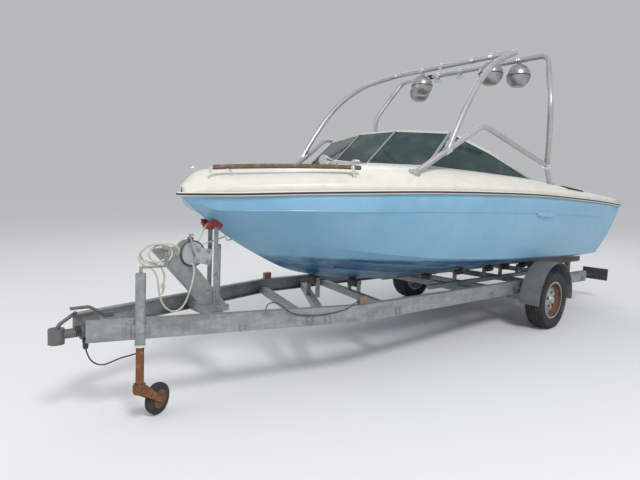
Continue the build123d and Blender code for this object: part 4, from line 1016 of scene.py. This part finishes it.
class RUNABOUT_OT_trailer(bpy.types.Operator):
    """Galvanised frame, axle, bunks, rollers, lamps and fenders"""

    bl_idname = "runabout.trailer"
    bl_label = "Trailer frame"

    def execute(self, context):
        settings = setting("trailer")
        rust = tuple(settings.rust)
        zinc = surface(
            "galvanised steel", settings.zinc, 0.55,
            ((0.46, 0.48, 0.48), 26, 0.5, 0.62, 0.4, 0.5),
            ((0.15, 0.15, 0.145), (3, 3, 9), 0.50, 0.72, 0.65, 0.8),
            (rust, (6, 6, 12), 0.64, 0.74, 0.6, 0.85),
            metal=0.45, bump=(90, 0.2, 0.0008),
        )
        grey = ((0.30, 0.26, 0.21), (4, 40, 40), 0.5, 0.7, 0.5, 0.9)
        board = surface("bunk timber", (0.16, 0.125, 0.09), 0.85, grey, grain=(3, 60, 60), bump=(1, 0.5, 0.002))
        chalk = ((0.28, 0.28, 0.27), (5, 5, 8), *STAINED)
        plastic = surface("fender plastic", (0.13, 0.14, 0.145), 0.6, chalk, bump=(200, 0.15, 0.0008))
        red = surface("red rubber", (0.34, 0.035, 0.03), 0.55, ((0.10, 0.04, 0.03), 16, 0.5, 0.75, 0.6, 0.8))
        roller = surface("roller rubber", (0.085, 0.05, 0.04), 0.7, ((0.07, 0.05, 0.04), 16, 0.5, 0.75, 0.6, 0.8))
        smoke = ((0.12, 0.09, 0.08), 20, 0.45, 0.7, 0.6, 0.5)
        amber = surface("lamp lens", (0.24, 0.13, 0.08), 0.3, smoke, coat=0.4)
        black = surface("board plastic", (0.05, 0.05, 0.052), 0.5, ((0.14, 0.14, 0.13), 20, 0.5, 0.75, 0.4, 0.7))
        cast = surface("coupling paint", (0.15, 0.15, 0.155), 0.55, (rust, 14, 0.52, 0.68, 0.8, 0.9), metal=0.4)
        pale = surface("ring plastic", (0.62, 0.62, 0.60), 0.5, ((0.3, 0.25, 0.2), 20, 0.5, 0.75, 0.4, 0.7))
        drum = surface(
            "winch paint", (0.40, 0.42, 0.43), 0.5, ((0.2, 0.18, 0.16), 14, 0.52, 0.7, 0.6, 0.8),
            (rust, 20, 0.62, 0.72, 0.6, 0.9), metal=0.2,
        )
        rusted = surface(
            "rusty steel", (0.20, 0.085, 0.04), 0.85, ((0.36, 0.17, 0.07), 25, 0.45, 0.65, 0.8, 0.9),
            ((0.08, 0.04, 0.03), 40, 0.5, 0.7, 0.6, 0.9), metal=0.3, bump=(180, 0.5, 0.0015),
        )
        dress(zinc, "side_beams", "axle", "jockey_outer", "jockey_crank")
        dress(plastic, "fenders")
        dress(amber, "side_lamps")
        dress(cast, "coupling", "handbrake")
        dress(rusted, "jockey_stem", "jockey_fork")

        bend_x, bend_y = 2530, 630

        def beam_y(x):
            """Middle of a side beam, which turns in towards the coupling."""
            if x > bend_x:
                return 115 + (bend_y - 115) * (x - 4300) / (bend_x - 4300)
            return bend_y + (700 - bend_y) * (x - bend_x) / (-1450 - bend_x)

        bars, bolts = [], []
        rows = ((3400, 3400), (2930, 2570), (2800, 2070), (2126, 1810), (750, 750), (-350, -350), (-1350, -1350))
        for port_x, starboard_x in rows:
            ends = (port_x, beam_y(port_x) - 20, 386), (starboard_x, 20 - beam_y(starboard_x), 386)
            bars.append(bar(*ends, 60, 60))
            for x, side in ((port_x, 1), (starboard_x, -1)):
                out = turned(0.291 if x > bend_x else -0.0176, side, 0).normalized()
                for dx, z in ((-20, 372), (20, 372), (-20, 402), (20, 402)):
                    spot = at(x + dx, side * (beam_y(x + dx) + 25.5), z)
                    bolts.append((spot + out * 0.003, out, UP))
        build("cross_bars", bars, zinc, "steel", "cross_members", sharp=0, bevel=0.004)

        frames, rubber = [], []
        for x, r in ((2461.6, 42), (1968.7, 42), (880, 35)):
            z = row_at(x)[0] - r - 1
            for side in SIDES:
                cheek = [(x - 25, 416), (x + 25, 416), (x + 18, z + 22), (x - 18, z + 22)]
                frames.append(slab(cheek, 1, side * 60 - 4, side * 60 + 4))
            frames.append(lathe(collar(0, 8, -68, 68), (x, 0, z), PORT, 16))
            half = [(-54, 0), (-54, r * 0.9), (-46, r), (-20, r * 0.93)]
            rubber.append(lathe(half + [(-a, b) for a, b in reversed(half)], (x, 0, z), PORT))
        rail_y = 300
        for side in SIDES:
            frames.append(bar((-1350, side * rail_y, 436), (1250, side * rail_y, 436), 40, 40))
            for x in (820, 260, -90, -490):
                keel_z, chine_y, chine_z = row_at(x)[:3]
                deadrise = math.atan((chine_z - keel_z) / chine_y)
                z = keel_z + rail_y * math.tan(deadrise) - 38 / math.cos(deadrise)
                frames.append(bar((x, side * rail_y, 450), (x, side * rail_y, z + 12), 30, 30, AHEAD))
                way = (0, side * math.cos(deadrise), math.sin(deadrise))
                frames.append(lathe(collar(0, 8, 0, 114), (x, side * rail_y, z), way, 16))
                barrel = [(22, 0), (22, 30), (30, 35), (90, 35), (98, 30), (98, 0)]
                rubber.append(lathe(barrel, (x, side * rail_y, z), way, 36))
        build("roller_frames", frames, zinc, "steel", "roller_brackets", sharp=30)
        build("rollers", rubber, roller, "roller", "keel_rollers", sharp=40)

        planks, posts = [], []
        for side in SIDES:
            rings = []
            for step in range(13):
                x = -1600 + 1300 * step / 12
                keel_z, chine_y, chine_z = row_at(x)[:3]
                tops = [(y, keel_z + (chine_z - keel_z) * y / chine_y - 14) for y in (575, 475)]
                rings.append([at(x, side * y, z) for y, z in [(475, 575), (575, 575)] + tops])
            planks.append(skin(rings))
            posts += [slab(rect(x - 25, 410, x + 25, 582), 1, side * 525 - 30, side * 525 + 30) for x in (-350, -1350)]
        build("bunk_boards", planks, board, "board", "bunks", sharp=0, bevel=0.003)
        build("bunk_stands", posts, zinc, "steel", "bunk_posts", sharp=0, bevel=0.003)

        arm = [slab([(3323, 459), (3494, 459), (3865, 872), (3682, 882)], 1, -40, 40)]
        arm.append(slab(rect(3320, 416, 3500, 462), 1, -80, 80))
        arm += [slab(rect(3400, 455, 3435, 1030), 1, side * 41, side * 47) for side in SIDES]
        arm.append(lathe(collar(0, 20, 0, 430), (3375, 0, 460), UP, 32))
        build("winch_stand", arm, zinc, "steel", "winch_arm", sharp=30, bevel=0.003)
        wedge = [(-75, 1070), (-75, 1035), (-20, 1000), (20, 1000), (75, 1035), (75, 1070), (20, 1030), (-20, 1030)]
        build("bow_block", slab(wedge, 0, 3372, 3480), red, "red", "bow_stop", sharp=0, bevel=0.004)
        hub = (3597, 0, 838)
        near = [(41, 0), (41, 86), (45, 86), (58, 80), (62, 50), (62, 0)]
        discs = [lathe(near, hub, PORT, 64), lathe(collar(0, 90, -41, -46), hub, PORT, 64)]
        discs.append(lathe(collar(0, 30, -40, 40), hub, PORT))
        build("winch_discs", discs, drum, "steel", "winch", sharp=35)
        rim = lathe([(40, 84), (40, 91), (50, 91), (54, 84)], hub, PORT, 64)
        build("winch_rim", rim, black, "black", sharp=40)
        cover_x, cover_z, tilt = 3528, 820, math.radians(12)
        corners = []
        for u_side, v_side, start in ((1, 1, 0), (-1, 1, 90), (-1, -1, 180), (1, -1, 270)):
            for step in range(5):
                angle = math.radians(start + 22.5 * step)
                u, v = 44.5 * u_side + 18 * math.cos(angle), 37 * v_side + 18 * math.sin(angle)
                x, z = u * math.cos(tilt) - v * math.sin(tilt), u * math.sin(tilt) + v * math.cos(tilt)
                corners.append((cover_x + x, cover_z + z))
        build("winch_cover", slab(corners, 1, 62, 75), drum, "steel", sharp=35, bevel=0.003)
        build("winch_red", slab(rect(3585, 925, 3622, 950), 1, 10, 34), red, "red", sharp=0, bevel=0.003)
        handle = [
            (3597, 64, 838), (3597, 88, 838), (3600, 92, 850), (3640, 92, 960), (3644, 92, 972), (3644, 96, 976),
            (3644, 150, 976),
        ]
        pipe("winch_handle", [handle], 0.014, drum, "steel")
        for dx, dz in ((-40, 30), (38, 42), (-30, -38), (46, -26)):
            bolts.append(((cover_x + dx, 76, cover_z + dz), PORT, UP))
        bolts += [((x, 48, z), PORT, UP) for x in (3408.75, 3426.25) for z in (500, 560)]

        boards, lights = [], []
        for side in SIDES:
            middle = side * 720
            boards.append(bar((-1740, side * 700, 410), (-1430, side * 700, 410), 30, 24))
            boards.append(slab(rect(middle - 150, 345, middle + 150, 495), 0, -1757, -1741))
            lights.append(slab(rect(middle - 120, 370, middle + 60, 450), 0, -1759, -1756))
        build("light_panels", boards, black, "black", "light_boards", sharp=0, bevel=0.003)
        build("rear_lenses", lights, red, "lamp", sharp=0)

        out, way = turned(0.279, 0.960, 0), turned(0.960, -0.279, 0)
        for shift in (-0.062, 0.062):
            bolts += [(at(4038, 191.2, z) + way * shift + out * 0.028, out, UP) for z in (392, 438)]
        build("clamp_plate", bar((3966, 239, 415), (4092, 202, 415), 5, 92), zinc, "steel", sharp=0, bevel=0.002)
        build("tube_ring", lathe(collar(30.2, 34, 0, 13), (4038, 272, 322), UP), pale, "frame_white", sharp=40)
        ribs = [(0, 0)]
        for step in range(6):
            ribs += [(11.5 * step, 26), (11.5 * step + 4, 35), (11.5 * step + 7.5, 35)]
        bellows = lathe(ribs + [(69, 26), (69, 0)], (4262, 0, 392), AHEAD)
        build("coupling_bellows", bellows, black, "black", sharp=50)
        repeated("frame_bolts", bolts, (0, settings.bolt, settings.bolt * 0.55), 6, zinc)
        return {"FINISHED"}


class RUNABOUT_OT_wheels(bpy.types.Operator):
    """Road wheels with their tread, hubs and nuts, and the jockey wheel"""

    bl_idname = "runabout.wheels"
    bl_label = "Wheels"

    def execute(self, context):
        rust = tuple(setting("trailer").rust)
        dust = ((0.13, 0.12, 0.105), 6, 0.5, 0.8, 0.6, 0.9)
        rubber = surface("tyre rubber", (0.025, 0.025, 0.026), 0.8, dust, bump=(120, 0.2, 0.001))
        rim = surface(
            "rim paint", (0.42, 0.43, 0.42), 0.4, ((0.3, 0.29, 0.27), 9, 0.5, 0.75, 0.5, 0.7),
            (rust, 16, 0.6, 0.7, 0.8, 0.9), metal=0.4,
        )
        flakes = ((0.24, 0.135, 0.085), 25, 0.45, 0.65, 0.8, 0.9)
        rusty = surface("rusty hub", (0.15, 0.085, 0.055), 0.85, flakes, metal=0.3, bump=(180, 0.4, 0.001))
        dress(rubber, "jockey_wheel")
        dress(rim, "rim_port", "rim_starboard")
        half = [
            (8, 300), (11, 292), (17, 292), (20, 300), (40, 299.4), (44, 291), (48, 291), (52, 298.4), (67, 295),
            (80, 286), (87, 270), (91, 236), (88, 215), (76, 199), (70, 183), (70, 186),
        ]
        section = [(-a, r) for a, r in reversed(half)] + half
        cap = [(36, 0), (36, 58), (46, 58), (47, 45), (62, 38), (68, 30), (68, 0)]
        ring = [
            (27, 144), (27, 155.5), (47, 175.5), (77.5, 175.5), (77.5, 173.5), (49, 173.5), (29.2, 153.5),
            (29.2, 144), (27, 144),
        ]
        for side, hand in SIDES.items():
            body = "wheel_" + hand
            hub, out = at(0, side * 885, 300), turned(0, side, 0)

            def spots(count, start, radius, depth):
                """Places, facings and ways out at even steps round the wheel."""
                ways = [turned(c, 0, s) for c, s in around(count, start)]
                return [(hub + way * radius + out * depth, out, way) for way in ways]

            tread = lathe(section, hub, out, 96)
            build("tread_" + hand, tread, rubber, "tyre", "tyre_" + hand, body=body, sharp=40)
            blocks = []
            for edge in (-1, 1):
                for place, _, way in spots(72, math.pi / 144, 0.2885, 0.0745 * edge):
                    blocks.append((place, way + out * 0.45 * edge, out))
            repeated("shoulder_blocks_" + hand, blocks, (0.026, 0.014, 0.011), 0, rubber, body)
            build("hub_cap_" + hand, lathe(cap, hub, out, 48), rim, "rim", body=body, sharp=35)
            build("rust_ring_" + hand, lathe(ring, hub, out, 64), rusty, "rim", body=body, sharp=35)
            nuts, slots = spots(5, 0.3, 0.076, 0.050), spots(10, 0, 0.138, 0.0275)
            repeated("wheel_nuts_" + hand, nuts, (0, 0.021, 0.014), 6, rusty, body)
            repeated("wheel_slots_" + hand, slots, (0.018, 0.032, 0.004), 0, rusty, body)
        plate = [(22.5, 0), (22.5, 60), (24.5, 60), (24.5, 52), (23.5, 48), (23.5, 22), (26.5, 20), (26.5, 0)]
        for side, hand in ((1, "near"), (-1, "far")):
            disc = lathe(plate, (3890.8, 187, -63.2), (-0.5 * side, 0.866 * side, 0))
            build("jockey_rim_" + hand, disc, rusty, "rim", body="jockey_wheel", sharp=30)
        return {"FINISHED"}


STEPS = (
    RUNABOUT_OT_stage, RUNABOUT_OT_cords, RUNABOUT_OT_hull, RUNABOUT_OT_deck, RUNABOUT_OT_seats,
    RUNABOUT_OT_windscreen, RUNABOUT_OT_tower, RUNABOUT_OT_rails, RUNABOUT_OT_drive, RUNABOUT_OT_trailer,
    RUNABOUT_OT_wheels,
)
GROUPS = (
    ("hull", RunaboutHullSettings),
    ("tower", RunaboutTowerSettings),
    ("trailer", RunaboutTrailerSettings),
    ("stage", RunaboutStageSettings),
)


class RUNABOUT_PT_panel(bpy.types.Panel):
    """Settings and steps of the runabout"""

    bl_idname = "RUNABOUT_PT_panel"
    bl_label = "Runabout"
    bl_space_type = "VIEW_3D"
    bl_region_type = "UI"
    bl_category = "Runabout"

    def draw(self, context):
        for name, group in GROUPS:
            box = self.layout.box()
            box.label(text=name.capitalize())
            for prop in group.__annotations__:
                box.prop(setting(name), prop)
        for step in STEPS:
            self.layout.operator(step.bl_idname)


def register():
    for name, group in GROUPS:
        bpy.utils.register_class(group)
        setattr(bpy.types.Scene, "runabout_" + name, PointerProperty(type=group))
    for step in STEPS:
        bpy.utils.register_class(step)
    bpy.utils.register_class(RUNABOUT_PT_panel)


def unregister():
    bpy.utils.unregister_class(RUNABOUT_PT_panel)
    for step in reversed(STEPS):
        bpy.utils.unregister_class(step)
    for name, group in reversed(GROUPS):
        delattr(bpy.types.Scene, "runabout_" + name)
        bpy.utils.unregister_class(group)


def main():
    register()
    for step in STEPS:
        getattr(bpy.ops.runabout, step.bl_idname.split(".")[1])()


if __name__ == "__main__":
    main()
